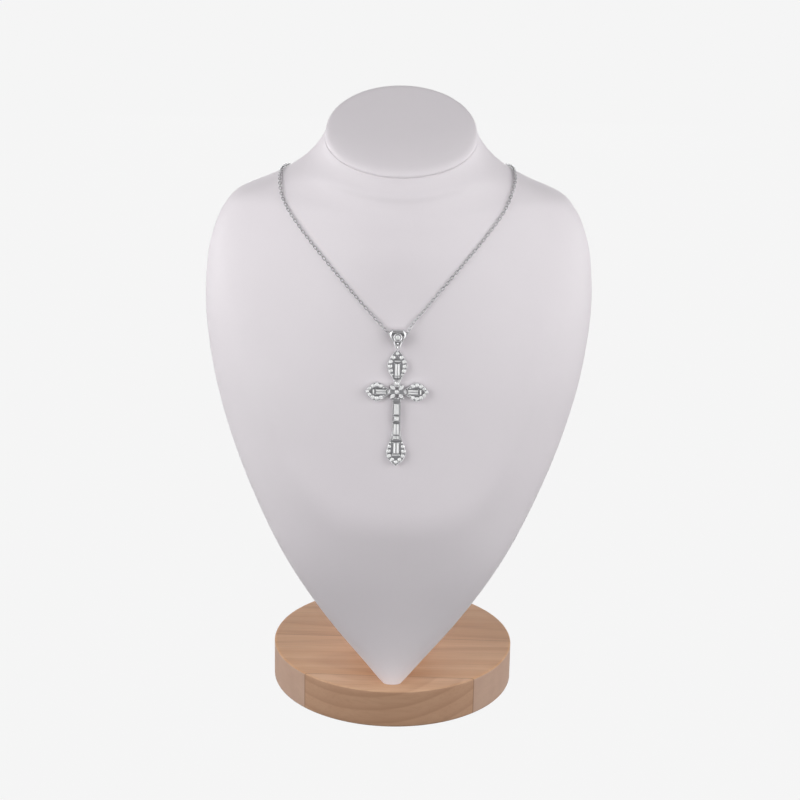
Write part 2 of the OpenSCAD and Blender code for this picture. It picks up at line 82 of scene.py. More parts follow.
def rows_at(t, v):
    """Every column of table t at the heights v, by the same smooth curve as the construction's."""
    m = slopes(t)
    v = np.clip(np.asarray(v, float), t[0, 0], t[-1, 0])
    i = np.clip(np.searchsorted(t[:, 0], v, side="right") - 1, 0, len(t) - 2)
    h = t[i + 1, 0] - t[i, 0]
    s = (v - t[i, 0]) / h
    return (
        t[i] * (2 * s**3 - 3 * s**2 + 1)[..., None]
        + m[i] * (h * (s**3 - 2 * s**2 + s))[..., None]
        + t[i + 1] * (3 * s**2 - 2 * s**3)[..., None]
        + m[i + 1] * (h * (s**3 - s**2))[..., None]
    )


# --------------------------------------------------------------- mesh tools


def new_object(name, verts, faces, material, body, smooth=True, sharp=None, slot=None):
    """A mesh from points in millimetres."""
    mesh = bpy.data.meshes.new(name)
    mesh.from_pydata([tuple(v) for v in (np.asarray(verts, float) * MM)], [], [tuple(f) for f in faces])
    mesh.validate()
    mesh.update()
    obj = bpy.data.objects.new(name, mesh)
    bpy.context.scene.collection.objects.link(obj)
    mesh.materials.append(material)
    if smooth:
        mesh.polygons.foreach_set("use_smooth", [True] * len(mesh.polygons))
        if sharp is not None:
            mesh.set_sharp_from_angle(angle=math.radians(sharp))
    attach(obj, body)
    return obj


class Parts:
    """Gathers closed shapes of one piece."""

    def __init__(self):
        self.v, self.f, self.n = [], [], 0

    def add(self, verts, faces):
        verts = np.asarray(verts, float)
        self.v.append(verts)
        self.f += [tuple(int(i) + self.n for i in f) for f in faces]
        self.n += len(verts)

    def build(self, name, material, body, place=None, **kw):
        v = np.vstack(self.v)
        if place is not None:
            v = place(v)
        return new_object(name, v, self.f, material, body, **kw)


def loft(loops, close=True, caps=True, cap_start=True, cap_end=True):
    """Skin through loops of equal length."""
    n = len(loops[0])
    v = np.vstack(loops)
    f = []
    for i in range(len(loops) - 1):
        for j in range(n if close else n - 1):
            k = (j + 1) % n
            f.append((i * n + j, i * n + k, (i + 1) * n + k, (i + 1) * n + j))
    if caps and cap_start:
        f.append(tuple(range(n - 1, -1, -1)))
    if caps and cap_end:
        f.append(tuple((len(loops) - 1) * n + j for j in range(n)))
    return v, f


def lathe(profile, n, axis="z"):
    """Turned shape: profile rows of radius and height, ends closed where the radius isn't zero."""
    a = np.arange(n) * 2 * math.pi / n
    loops = [np.c_[r * np.cos(a), r * np.sin(a), np.full(n, h)] for r, h in profile]
    v, f = loft(loops)
    if axis == "-y":  # the height runs towards the front
        v = np.c_[v[:, 0], -v[:, 2], v[:, 1]]
    elif axis == "x":
        v = np.c_[v[:, 2], v[:, 0], v[:, 1]]
    return v, f


def ball(centre, r, seg=10, rings=6, squash=(1, 1, 1)):
    v = [(0, 0, 1.0)]
    for i in range(1, rings):
        t = math.pi * i / rings
        for j in range(seg):
            p = 2 * math.pi * j / seg
            v.append((math.sin(t) * math.cos(p), math.sin(t) * math.sin(p), math.cos(t)))
    v.append((0, 0, -1.0))
    f = [(0, 1 + j, 1 + (j + 1) % seg) for j in range(seg)]
    for i in range(rings - 2):
        for j in range(seg):
            a, b = 1 + i * seg + j, 1 + i * seg + (j + 1) % seg
            f.append((a, a + seg, b + seg, b))
    last = len(v) - 1
    base = 1 + (rings - 2) * seg
    f += [(last, base + (j + 1) % seg, base + j) for j in range(seg)]
    return np.array(v) * r * np.array(squash) + np.array(centre, float), f


def offset_loop(loop, d):
    """Loop of x, z moved in by d along its normals; anticlockwise loops only."""
    p = np.asarray(loop, float)
    a, b = np.roll(p, 1, axis=0), np.roll(p, -1, axis=0)
    e1, e2 = p - a, b - p
    e1 /= np.maximum(np.linalg.norm(e1, axis=1), 1e-9)[:, None]
    e2 /= np.maximum(np.linalg.norm(e2, axis=1), 1e-9)[:, None]
    n1, n2 = np.c_[-e1[:, 1], e1[:, 0]], np.c_[-e2[:, 1], e2[:, 0]]
    n = n1 + n2
    n /= np.maximum(np.linalg.norm(n, axis=1), 1e-9)[:, None]
    k = np.maximum((n * n1).sum(1), 0.5)
    return p + n * (d / k)[:, None]


def turned(loop):
    """The loop, anticlockwise."""
    p = np.asarray(loop, float)
    q = np.roll(p, -1, axis=0)
    return p if (p[:, 0] * q[:, 1] - q[:, 0] * p[:, 1]).sum() > 0 else p[::-1]


def raised(loop, steps):
    """Shape over a flat loop of x, z: steps of inset and y, from the back to the front."""
    loop = turned(loop)
    loops = []
    for inset, y in steps:
        q = offset_loop(loop, inset) if inset else loop
        loops.append(np.c_[q[:, 0], np.full(len(q), y), q[:, 1]])
    return loft(loops)


def rect(cx, cz, w, h, r=0.0, n=3):
    """Rectangle, its corners rounded by r."""
    if r <= 0:
        return np.array([(cx - w / 2, cz - h / 2), (cx + w / 2, cz - h / 2), (cx + w / 2, cz + h / 2), (cx - w / 2, cz + h / 2)])
    p = []
    for sx, sz, a0 in ((1, -1, -90), (1, 1, 0), (-1, 1, 90), (-1, -1, 180)):
        for k in range(n + 1):
            a = math.radians(a0 + 90 * k / n)
            p.append((cx + sx * (w / 2 - r) + r * math.cos(a), cz + sz * (h / 2 - r) + r * math.sin(a)))
    return np.array(p)


# ---------------------------------------------------------------- materials


class Mat:
    """A node material with its principled shader."""

    def __init__(self, name):
        self.m = bpy.data.materials.new(name)
        self.m.use_nodes = True
        self.t = self.m.node_tree
        self.t.nodes.clear()
        self.out = self.t.nodes.new("ShaderNodeOutputMaterial")
        self.p = self.t.nodes.new("ShaderNodeBsdfPrincipled")
        self.t.links.new(self.p.outputs[0], self.out.inputs["Surface"])

    def node(self, kind, **inputs):
        n = self.t.nodes.new("ShaderNode" + kind)
        for k, v in inputs.items():
            if k in n.inputs:
                n.inputs[k].default_value = v
            else:
                setattr(n, k, v)
        return n

    def link(self, a, b):
        self.t.links.new(a, b)

    def set(self, **values):
        for k, v in values.items():
            self.p.inputs[k.replace("_", " ")].default_value = v

    def math(self, op, a, b=None, c=None, clamp=False):
        n = self.t.nodes.new("ShaderNodeMath")
        n.operation = op
        n.use_clamp = clamp
        for i, x in enumerate((a, b, c)):
            if x is None:
                continue
            if isinstance(x, (int, float)):
                n.inputs[i].default_value = x
            else:
                self.link(x, n.inputs[i])
        return n.outputs[0]

    def ramp(self, fac, stops, mode="LINEAR"):
        n = self.t.nodes.new("ShaderNodeValToRGB")
        n.color_ramp.interpolation = mode
        e = n.color_ramp.elements
        e[0].position, e[0].color = stops[0][0], (*stops[0][1], 1)
        e[1].position, e[1].color = stops[-1][0], (*stops[-1][1], 1)
        for pos, col in stops[1:-1]:
            x = e.new(pos)
            x.color = (*col, 1)
        self.link(fac, n.inputs[0])
        return n.outputs[0]

    def mix(self, fac, a, b, mode="MIX"):
        n = self.t.nodes.new("ShaderNodeMix")
        n.data_type = "RGBA"
        n.blend_type = mode
        for sock, x in ((n.inputs[0], fac), (n.inputs[6], a), (n.inputs[7], b)):
            if isinstance(x, (int, float)):
                sock.default_value = x
            elif isinstance(x, tuple):
                sock.default_value = (*x, 1) if len(x) == 3 else x
            else:
                self.link(x, sock)
        return n.outputs[2]


def lin(r, g, b):
    """Screen colour of 0..255 as linear light."""
    return tuple(((c / 255) / 12.92 if c / 255 <= 0.04045 else ((c / 255 + 0.055) / 1.055) ** 2.4) for c in (r, g, b))


def cover_material(name):
    """White leatherette: fine pebbled grain, a slight unevenness of tone and a soft sheen."""
    k = Mat(name)
    pos = k.node("TexCoord").outputs["Object"]
    big = k.node("TexNoise", Scale=9.0, Detail=3.0, Roughness=0.5)
    k.link(pos, big.inputs["Vector"])
    tone = k.ramp(big.outputs[0], [(0.3, (0.785, 0.740, 0.776)), (0.7, (0.82, 0.779, 0.811))])
    cell = k.node("TexVoronoi", Scale=1500.0, Randomness=0.85)
    cell.feature = "SMOOTH_F1"
    cell.inputs["Smoothness"].default_value = 0.6
    k.link(pos, cell.inputs["Vector"])
    fine = k.node("TexNoise", Scale=2600.0, Detail=2.0)
    k.link(pos, fine.inputs["Vector"])
    grain = k.math("ADD", k.math("MULTIPLY", cell.outputs["Distance"], 0.7), k.math("MULTIPLY", fine.outputs[0], 0.3))
    k.link(k.mix(k.math("MULTIPLY", grain, 0.08), tone, (0.71, 0.67, 0.70)), k.p.inputs["Base Color"])
    k.link(k.math("MULTIPLY_ADD", grain, 0.10, 0.55), k.p.inputs["Roughness"])
    bump = k.node("Bump", Strength=0.12, Distance=0.00012)
    k.link(grain, bump.inputs["Height"])
    k.link(bump.outputs[0], k.p.inputs["Normal"])
    k.set(Specular_IOR_Level=0.35, Sheen_Weight=0.08, Sheen_Roughness=0.5)
    return k.m


def metal_material(name, tone=(0.86, 0.86, 0.865), rough=0.16):
    """Polished white metal with faint polishing marks."""
    k = Mat(name)
    pos = k.node("TexCoord").outputs["Object"]
    n1 = k.node("TexNoise", Scale=900.0, Detail=4.0, Roughness=0.6)
    k.link(pos, n1.inputs["Vector"])
    n2 = k.node("TexNoise", Scale=5200.0, Detail=2.0)
    k.link(pos, n2.inputs["Vector"])
    dark = tuple(c * 0.93 for c in tone)
    k.link(k.ramp(n1.outputs[0], [(0.35, dark), (0.65, tone)]), k.p.inputs["Base Color"])
    k.link(k.math("MULTIPLY_ADD", n1.outputs[0], 0.10, rough - 0.05), k.p.inputs["Roughness"])
    bump = k.node("Bump", Strength=0.08, Distance=0.00003)
    k.link(n2.outputs[0], bump.inputs["Height"])
    k.link(bump.outputs[0], k.p.inputs["Normal"])
    k.set(Metallic=1.0)
    return k.m


def stone_material(name):
    """Clear cut stone over a bright seat: each facet's colour is set lighter or darker by its direction, painted
    flashes of reflected light.
    """
    k = Mat(name)
    coord = k.node("TexCoord")
    snap = k.node("VectorMath", operation="SNAP")
    snap.inputs[1].default_value = (0.07, 0.07, 0.07)
    k.link(coord.outputs["Normal"], snap.inputs[0])
    # painted reflections: the facet's direction picks its brightness
    spark = k.node("TexWhiteNoise")
    k.link(snap.outputs[0], spark.inputs["Vector"])
    n1 = k.node("TexNoise", Scale=420.0, Detail=2.0)
    k.link(coord.outputs["Object"], n1.inputs["Vector"])
    tone = k.ramp(spark.outputs["Value"], [(0.0, (0.46, 0.47, 0.48)), (0.22, (0.78, 0.79, 0.80)), (0.45, (0.97, 0.975, 0.98)), (1.0, (0.995, 0.995, 1.0))])
    k.link(k.mix(k.math("MULTIPLY", n1.outputs[0], 0.10), tone, (0.9, 0.91, 0.93)), k.p.inputs["Base Color"])
    k.link(k.math("MULTIPLY_ADD", n1.outputs[0], 0.02, 0.01), k.p.inputs["Roughness"])
    k.set(Transmission_Weight=0.08, IOR=2.2, Specular_IOR_Level=0.8)
    return k.m


def wood_material(name):
    """Glued rubberwood planks: grain from left to right, the front one cut across its figure."""
    k = Mat(name)
    pos = k.node("TexCoord").outputs["Object"]
    sep = k.node("SeparateXYZ")
    k.link(pos, sep.inputs[0])
    x, y, z = sep.outputs
    y = k.math("MULTIPLY_ADD", x, 0.031, y)       # the planks lie slightly turned
    front = k.math("LESS_THAN", y, -0.05375)
    behind = k.math("SUBTRACT", 1.0, front)
    back = k.math("GREATER_THAN", y, 0.0)
    side = k.math("LESS_THAN", z, 0.0233)         # the disc's wall
    side_wall = k.math("MULTIPLY", behind, side)
    front_wall = k.math("MULTIPLY", front, side)
    warp = k.node("TexNoise", Scale=9.0, Detail=2.5, Roughness=0.5)
    stretch = k.node("Mapping")
    stretch.inputs["Scale"].default_value = (0.3, 1.0, 1.0)
    k.link(pos, stretch.inputs["Vector"])
    k.link(stretch.outputs[0], warp.inputs["Vector"])
    drift = k.math("MULTIPLY", k.math("SUBTRACT", warp.outputs[0], 0.5), 0.013)
    # long rings of the planks behind, round an axis below them
    dy = k.math("ADD", k.math("SUBTRACT", y, k.math("MULTIPLY_ADD", back, 0.075, -0.035)), drift)
    dz = k.math("ADD", k.math("MULTIPLY_ADD", x, -0.06, z), 0.026)
    r1 = k.math("SQRT", k.math("ADD", k.math("MULTIPLY", dy, dy), k.math("MULTIPLY", dz, dz)))
    # bowl-shaped figure of the front one, round a point above it
    ux = k.math("MULTIPLY", k.math("ADD", x, 0.016), 0.8)
    uy = k.math("MULTIPLY", k.math("ADD", y, 0.030), 0.75)
    uz = k.math("SUBTRACT", z, 0.082)
    r2 = k.math("SQRT", k.math("ADD", k.math("ADD", k.math("MULTIPLY", ux, ux), k.math("MULTIPLY", uy, uy)), k.math("MULTIPLY", uz, uz)))
    r2 = k.math("ADD", r2, drift)
    rings = k.math("FRACT", k.math("ADD", k.math("MULTIPLY", k.math("MULTIPLY", r1, behind), 150.0), k.math("MULTIPLY", k.math("MULTIPLY", r2, front), 125.0)))
    late = k.ramp(rings, [(0.0, (0, 0, 0)), (0.55, (0.22, 0.22, 0.22)), (0.88, (1, 1, 1)), (1.0, (0, 0, 0))])
    # pores and fine streaks along the grain
    along = k.node("Mapping")
    along.inputs["Scale"].default_value = (26.0, 800.0, 800.0)
    k.link(pos, along.inputs["Vector"])
    fine = k.node("TexNoise", Scale=1.0, Detail=5.0, Roughness=0.65)
    k.link(along.outputs[0], fine.inputs["Vector"])
    broad = k.node("Mapping")
    broad.inputs["Scale"].default_value = (4.5, 130.0, 130.0)
    k.link(pos, broad.inputs["Vector"])
    bands = k.node("TexNoise", Scale=1.0, Detail=3.0, Roughness=0.55)
    k.link(broad.outputs[0], bands.inputs["Vector"])
    light = lin(211, 169, 134)
    mid = lin(196, 151, 115)
    deep = lin(146, 102, 72)
    base = k.ramp(bands.outputs[0], [(0.30, mid), (0.68, light)])
    # the back plank is browner, the front one more orange
    base = k.mix(k.math("MULTIPLY", back, 0.40), base, lin(184, 138, 102))
    base = k.mix(k.math("MULTIPLY", front, 0.40), base, lin(205, 170, 144))
    amount = k.math("ADD", k.math("MULTIPLY_ADD", front_wall, 0.28, 0.20), k.math("MULTIPLY", side_wall, -0.12))
    base = k.mix(k.math("MULTIPLY", late, amount), base, deep)
    pores = k.ramp(fine.outputs[0], [(0.36, (1, 1, 1)), (0.52, (0, 0, 0))])
    base = k.mix(k.math("MULTIPLY", pores, k.math("MULTIPLY_ADD", side_wall, -0.10, 0.20)), base, deep)
    # end grain to the sides is paler and greyer; the front's edge is darker, partly its cut figure and partly painted
    # shade on the wall that faces the front
    base = k.mix(k.math("MULTIPLY", side_wall, 0.62), base, lin(192, 168, 157))
    base = k.mix(k.math("MULTIPLY", front_wall, 0.55), base, lin(182, 144, 118))
    # glue lines
    seam = k.math("MINIMUM", k.math("ABSOLUTE", k.math("ADD", y, 0.05375)), k.math("ABSOLUTE", y))
    line = k.math("LESS_THAN", seam, 0.00028)
    base = k.mix(k.math("MULTIPLY", line, 0.5), base, lin(128, 88, 62))
    k.link(base, k.p.inputs["Base Color"])
    k.link(k.math("MULTIPLY_ADD", fine.outputs[0], 0.18, 0.45), k.p.inputs["Roughness"])
    bump = k.node("Bump", Strength=0.25, Distance=0.0002)
    k.link(k.math("SUBTRACT", fine.outputs[0], k.math("MULTIPLY", line, 0.6)), bump.inputs["Height"])
    k.link(bump.outputs[0], k.p.inputs["Normal"])
    k.set(Specular_IOR_Level=0.16)
    return k.m


COVER = cover_material("cover_leatherette")
WOOD = wood_material("base_wood")
METAL = metal_material("white_metal", tone=(0.70, 0.70, 0.71), rough=0.17)
CHAIN_METAL = metal_material("chain_metal", tone=(0.45, 0.45, 0.46), rough=0.13)
# dark metal that stands for shade: painted shade in the cross's recesses, between its stones and inside the bail
PAINTED_SHADE_METAL = metal_material("painted_shade_metal", tone=(0.29, 0.29, 0.30), rough=0.35)
STONE = stone_material("clear_stone")

# --------------------------------------------------------------------- bust
# Height, half width, y of the widest line, bevel and its squareness, panel on
# the centre line, how far the neck stands out, panel's radius across, back and
# its squareness, softness of the crease: the same form as the construction's.
BUST = np.array([
    [24, 6, -60, -65.5, 2.4, -93, 0, 400, 38, 8, 6],
    [27, 9, -58.5, -65.5, 2.5, -91.5, 0, 400, 38.5, 7.5, 6],
    [34, 15.4, -55.5, -65.5, 2.6, -89.5, 0, 400, 39, 7, 6],
    [60, 38.7, -45, -68, 2.8, -87, 0, 380, 41, 6, 4],
    [96, 65, -31, -73.5, 2.8, -83, 0, 340, 42, 5, 2.5],
    [135, 87, -14, -78.5, 2.4, -78, 0, 300, 42, 5, 2.2],
    [172, 102.5, -2, -81, 2.15, -72, 0, 300, 42, 5, 2.5],
    [217, 113.5, 7, -79, 2.1, -65, 0, 300, 42, 5, 3.5],
    [258, 116, 12, -73, 2, -58, 6, 300, 42, 4.5, 7],
    [286, 111.5, 14, -62, 2, -52.5, 15, 300, 42, 4, 13],
    [300, 105.4, 14, -53, 2, -49.5, 22, 310, 42, 3.4, 16],
    [311, 95.4, 13.5, -48, 2, -47, 28, 325, 42.3, 2.8, 18],
    [319, 78, 12, -45, 2, -45, 35, 340, 43, 2.4, 18],
    [330, 58.6, 8, -41.5, 2, -43, 36, 340, 44.5, 2.1, 14],
    [342, 47, 5.5, -34.5, 2, -51, 20, 340, 46, 2, 8],
    [352, 44, 5, -31.5, 2, -58, 8, 340, 46.5, 2, 6],
    [372, 44, 5, -31.5, 2, -62, 0, 340, 46.5, 2, 6],
])
NECK_W, NECK_TILT, NECK_TOP, CAP_T, TILT_FROM, ROUND_FROM, FOOT = 43.0, 23.0, 349.0, 4.5, 284.0, 313.0, 24.1
SEAM = NECK_TOP - CAP_T / math.cos(math.radians(NECK_TILT))


def dome(u, n):
    return np.maximum(1 - np.abs(u) ** n, 0) ** (1 / n)


def front_y(u, r):
    x = u * r[..., 1]
    a = r[..., 2] - (r[..., 2] - r[..., 3]) * dome(u, r[..., 4])
    b = r[..., 5] + r[..., 6] * (1 - np.exp(-x * x / (2 * NECK_W**2))) + x * x / (2 * r[..., 7])
    h = np.maximum(r[..., 10] - np.abs(a - b), 0) / r[..., 10]
    return np.minimum(np.maximum(a, b) + h * h * r[..., 10] / 4, r[..., 2])


def back_y(u, r):
    return r[..., 2] + (r[..., 8] - r[..., 2]) * dome(u, r[..., 9])


def eased(v, start):
    s = min(max((v - start) / (SEAM - start), 0), 1)
    return s * s * (3 - 2 * s)


NF, NB = 150, 64
U_FRONT = np.sin(np.radians(-90 + 180 * np.arange(NF + 1) / NF))
U_BACK = np.sin(np.radians(90 - 180 * np.arange(1, NB) / NB))


def section(zc, inset=0.0):
    tt = math.tan(math.radians(NECK_TILT * eased(zc, TILT_FROM)))
    w = eased(zc, ROUND_FROM)
    u = np.r_[U_FRONT, U_BACK]
    back = np.r_[np.zeros(len(U_FRONT), bool), np.ones(len(U_BACK), bool)]
    y = np.where(back, 30.0, -30.0)
    for _ in range(9):
        r = rows_at(BUST, zc + ((1 - w) * y + w * 6) * tt)
        y = np.where(back, back_y(u, r), front_y(u, r))
    x = u * r[:, 1]
    f = 1 - inset / np.maximum(np.hypot(x, y), 1)
    x, y = x * f, y * f
    return np.c_[x, y, zc + y * tt]


def flat_cap(loop, inner):
    """Rings that fill a flat loop, from its edge to its middle."""
    c = loop.mean(0)
    return [c + (loop - c) * s for s in inner]


levels = np.r_[FOOT, FOOT + 0.5, FOOT + 1.2, np.linspace(FOOT + 2.2, SEAM - 1.4, 190)]
loops = [section(z) for z in levels]
loops += [section(SEAM - 0.7), section(SEAM - 0.4, 0.06), section(SEAM - 0.22, 0.2), section(SEAM - 0.12, 0.5), section(SEAM - 0.08, 1.2)]
loops = flat_cap(loops[0], [0.2, 0.6, 0.9]) + loops + flat_cap(loops[-1], [0.9, 0.6, 0.2])
v, f = loft(loops)
bust = new_object("bust_cover", v, f, COVER, "root", sharp=50, slot="bust_cover")
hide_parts("bust")

# board on the neck, its cover pulled over the edge
steps = [(0.08, 1.4), (0.12, 0.6), (0.22, 0.22), (0.4, 0.06), (0.8, 0.0)]
loops = [section(SEAM + d, i) for d, i in steps]
loops += [section(SEAM + 1.5)]
CRISP = [(2.2, 0.03), (1.5, 0.08), (0.95, 0.25), (0.6, 0.55), (0.36, 1.0), (0.2, 1.7), (0.1, 2.8), (0.05, 4.6), (0.03, 7.2), (0.0, 10.8), (-0.06, 15.0), (-0.14, 20.0), (-0.22, 26.0)]
SOFT = [(3.3, 0.06), (2.8, 0.3), (2.35, 0.8), (1.95, 1.55), (1.6, 2.6), (1.3, 4.0), (1.02, 5.8), (0.78, 8.0), (0.55, 10.8), (0.34, 14.0), (0.16, 17.6), (0.0, 21.6), (-0.14, 26.4)]
for (d0, i0), (d1, i1) in zip(CRISP, SOFT):
    p0, p1 = section(NECK_TOP - d0, i0), section(NECK_TOP - d1, i1)
    w = np.clip((18 - p0[:, 1]) / 42, 0, 1)[:, None]
    w = w * w * (3 - 2 * w)
    loops.append(p0 * (1 - w) + p1 * w)
loops = flat_cap(loops[0], [0.2, 0.6, 0.9]) + loops + flat_cap(loops[-1], [0.75, 0.45, 0.2])
v, f = loft(loops)
cap = new_object("neck_board", v, f, COVER, "root", sharp=60, slot="cap_cover")
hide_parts("neck_cap")

# --------------------------------------------------------------------- base
n = 256
prof = [(0.4, 0.0), (40, 0.0), (72.9, 0.0)]
prof += [(73.3 + 1.2 * math.sin(a), 1.2 - 1.2 * math.cos(a)) for a in np.radians(np.linspace(10, 90, 6))]
prof += [(74.5, 5), (74.5, 12), (74.5, 19)]
prof += [(73.3 + 1.2 * math.cos(a), 22.8 + 1.2 * math.sin(a)) for a in np.radians(np.linspace(0, 80, 6))]
prof += [(72.9, 24.0), (50, 24.0), (25, 24.0), (0.4, 24.0)]
v, f = lathe(prof, n)
base = new_object("base_disc", v, f, WOOD, "root", sharp=40, slot="base_wood")
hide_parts("base")

# --------------------------------------------------------------------- chain
BAIL_AT = np.array([0, -63.4, 246.5])
LEAN = math.radians(9.0)


def chest_point(x, w):
    return BAIL_AT + np.array([x, w * math.sin(LEAN), w * math.cos(LEAN)])


def cover_y(x, z, back):
    r = rows_at(BUST, [z])[0]
    u = np.clip(x / r[1], -1, 1)
    return float(back_y(u, r) if back else front_y(u, r))


def off_cover(x, z, d, back=False):
    h, s = 0.4, -1 if back else 1
    gx = (cover_y(x + h, z, back) - cover_y(x - h, z, back)) / (2 * h)
    gz = (cover_y(x, z + h, back) - cover_y(x, z - h, back)) / (2 * h)
    nn = s * np.array([gx, -1, gz])
    return np.array([x, cover_y(x, z, back), z]) + nn * (d / np.linalg.norm(nn))


CLASP_L, CLASP_D, CLASP_Z = 10.0, 3.6, 316.0
clasp_y = cover_y(0, CLASP_Z, True) + CLASP_D / 2 + 0.4
ASIDE = -2.8


def aside(z):
    return ASIDE * math.sqrt(min(max((z - 244) / 50, 0), 1))


def ridge_z(x, y):
    """Height of the cover at x, y by the ridge of the shoulder."""
    lo, hi = 305.0, 342.0
    for _ in range(30):
        zr = (lo + hi) / 2
        r = rows_at(BUST, [zr])[0]
        e, n = (r[3], r[4]) if y < r[2] else (r[8], r[9])
        reach = r[1] * max(1 - ((y - r[2]) / (e - r[2])) ** n, 0) ** (1 / n)
        lo, hi = (zr, hi) if reach > abs(x) else (lo, zr)
    zc = zr
    for _ in range(12):
        w = eased(zc, ROUND_FROM)
        zc = zr - ((1 - w) * y + w * 6) * math.tan(math.radians(NECK_TILT * eased(zc, TILT_FROM)))
    return zc + y * math.tan(math.radians(NECK_TILT * eased(zc, TILT_FROM)))


def off_ridge(x, y, d):
    h = 0.4
    nn = np.array([ridge_z(x - h, y) - ridge_z(x + h, y), ridge_z(x, y - h) - ridge_z(x, y + h), 2 * h])
    return np.array([x, y, ridge_z(x, y)]) + nn * (d / np.linalg.norm(nn))


def half_route(s):
    half = [chest_point(s * x, w) for x, w in ((0, -0.7), (2.6, -0.35), (5, 0.6))]
    half += [off_cover(s * x + aside(z), z, d) for x, z, d in ((8.8, 251, 2.4), (14.4, 257, 1.5), (25.8, 269.5, 1.35), (39.5, 284, 1.35), (53.6, 298.5, 1.35), (63, 309.5, 1.35), (66, 314.5, 1.35))]
    half += [off_ridge(s * x + ASIDE * 0.65, y, d) for x, y, d in ((68.6, -4, 1.4), (68.6, 5, 1.4), (67.8, 15, 1.4), (65, 25, 1.4), (59, 33.5, 1.4))]
    half += [off_cover(s * x, z, d, True) for x, z, d in ((46, 318, 1.5), (30, 316.5, 1.5), (13, 316, 2))]
    return half + [np.array([s * (CLASP_L / 2 + 0.1), clasp_y, CLASP_Z])]


route = np.array(half_route(-1)[:0:-1] + half_route(1))
run = np.r_[0, np.cumsum(np.linalg.norm(np.diff(route, axis=0), axis=1))]
t = np.c_[run, route]
fine = rows_at(t, np.linspace(0, run[-1], 6000))[:, 1:]
arc = np.r_[0, np.cumsum(np.linalg.norm(np.diff(fine, axis=0), axis=1))]
LENGTH = arc[-1]


def on_route(s):
    return np.array([np.interp(s, arc, fine[:, k]) for k in range(3)])


tree = BVHTree.FromPolygons([tuple(c) for c in np.vstack([np.array(o.data.vertices[i].co) for o in (bust,) for i in range(len(o.data.vertices))])],
                            [tuple(q.vertices) for q in bust.data.polygons])
WIRE, OUT_L, OUT_W = 0.44, 3.0, 1.88
PITCH = 2.1
count = int(round((LENGTH - 0.6) / PITCH))
pitch = (LENGTH - 0.6) / count
SEG, TUBE = 26, 8


def link_shape():
    """One oval link along x, lying in the x-y plane."""
    r = (OUT_W - WIRE) / 2
    a = (OUT_L - OUT_W) / 2
    path = []
    for k in range(SEG):
        q = 2 * math.pi * k / SEG
        cx, cy = math.cos(q), math.sin(q)
        path.append((a * np.sign(cx) * min(1, abs(cx) * 3) + r * cx, r * cy, 0))
    path = np.array(path)
    tang = np.roll(path, -1, axis=0) - np.roll(path, 1, axis=0)
    tang /= np.linalg.norm(tang, axis=1)[:, None]
    side = np.cross(tang, [0, 0, 1.0])
    rings = []
    for p, s in zip(path, side):
        rings.append([p + WIRE / 2 * (math.cos(w) * s + math.sin(w) * np.array([0, 0, 1.0])) for w in (2 * math.pi * j / TUBE for j in range(TUBE))])
    v = np.array(rings).reshape(-1, 3)
    f = []
    for i in range(SEG):
        for j in range(TUBE):
            a0, b0 = i * TUBE + j, i * TUBE + (j + 1) % TUBE
            a1, b1 = ((i + 1) % SEG) * TUBE + j, ((i + 1) % SEG) * TUBE + (j + 1) % TUBE
            f.append((a0, b0, b1, a1))
    return v, f


lv, lf = link_shape()
links = Parts()
for i in range(count):
    s = 0.3 + pitch * (i + 0.5)
    p = on_route(s)
    tg = on_route(min(s + 0.9, LENGTH)) - on_route(max(s - 0.9, 0))
    tg /= np.linalg.norm(tg)
    low = 0.0
    if abs(p[0]) < 6.5 and p[1] < 0:
        nn = np.array([0, -math.cos(LEAN), math.sin(LEAN)])
    else:
        near = tree.find_nearest(Vector(p * MM))
        nn = np.array(p) - np.array(near[0]) / MM
        low = min(0.4, max(0.0, np.linalg.norm(nn) - 0.82)) * min(1.0, max(0.0, (abs(p[0]) - 6.5) / 6))
    nn -= tg * nn.dot(tg)
    nn /= np.linalg.norm(nn)
    bb = np.cross(tg, nn)
    p = p - nn * low                       # the links lie on the cover
    a = math.radians((30 if i % 2 else 120) + rng.uniform(-8, 8))
    e2 = math.cos(a) * bb + math.sin(a) * nn
    e3 = np.cross(tg, e2)
    links.add(p + lv @ np.array([tg, e2, e3]), lf)
chain = links.build("chain_links", CHAIN_METAL, "root", slot="chain_metal")
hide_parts("chain")

# clasp: a plain barrel with turned end rings
prof = [(0.5, -5.0), (1.0, -5.0), (1.2, -4.85), (1.2, -4.3), (1.45, -4.15), (1.75, -4.0), (1.8, -3.8), (1.8, -3.1), (1.68, -3.0), (1.68, -2.8), (1.8, -2.7)]
prof = prof + [(r, -h) for r, h in prof[::-1]]
v, f = lathe(prof, 64, "x")
clasp = new_object("clasp_barrel", v + [0, clasp_y, CLASP_Z], f, METAL, "root", sharp=35, slot="clasp_metal")
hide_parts("clasp")

# ---------------------------------------------------------------- pendant
CA, SA = math.cos(LEAN), math.sin(LEAN)


def on_chest(v, drop=0.0):
    """From the pendant's own axes, y to the back and z up its plane, to the row's."""
    v = np.asarray(v, float)
    x, y, z = v[:, 0], v[:, 1], v[:, 2] - drop
    return np.c_[x, y * CA + z * SA, -y * SA + z * CA] + BAIL_AT


BAIL_L, DROP = 7.8, 26.0


def on_cross(v):
    return on_chest(v, BAIL_L + DROP)


# bail: a folded strip with an open front
BAIL = np.array([[-8.9, 1.15], [-7, 1.5], [-5.2, 2.3], [-3.4, 3.3], [-1.6, 4.2], [0.2, 4.65], [1.8, 4.5], [2.9, 3.8]])


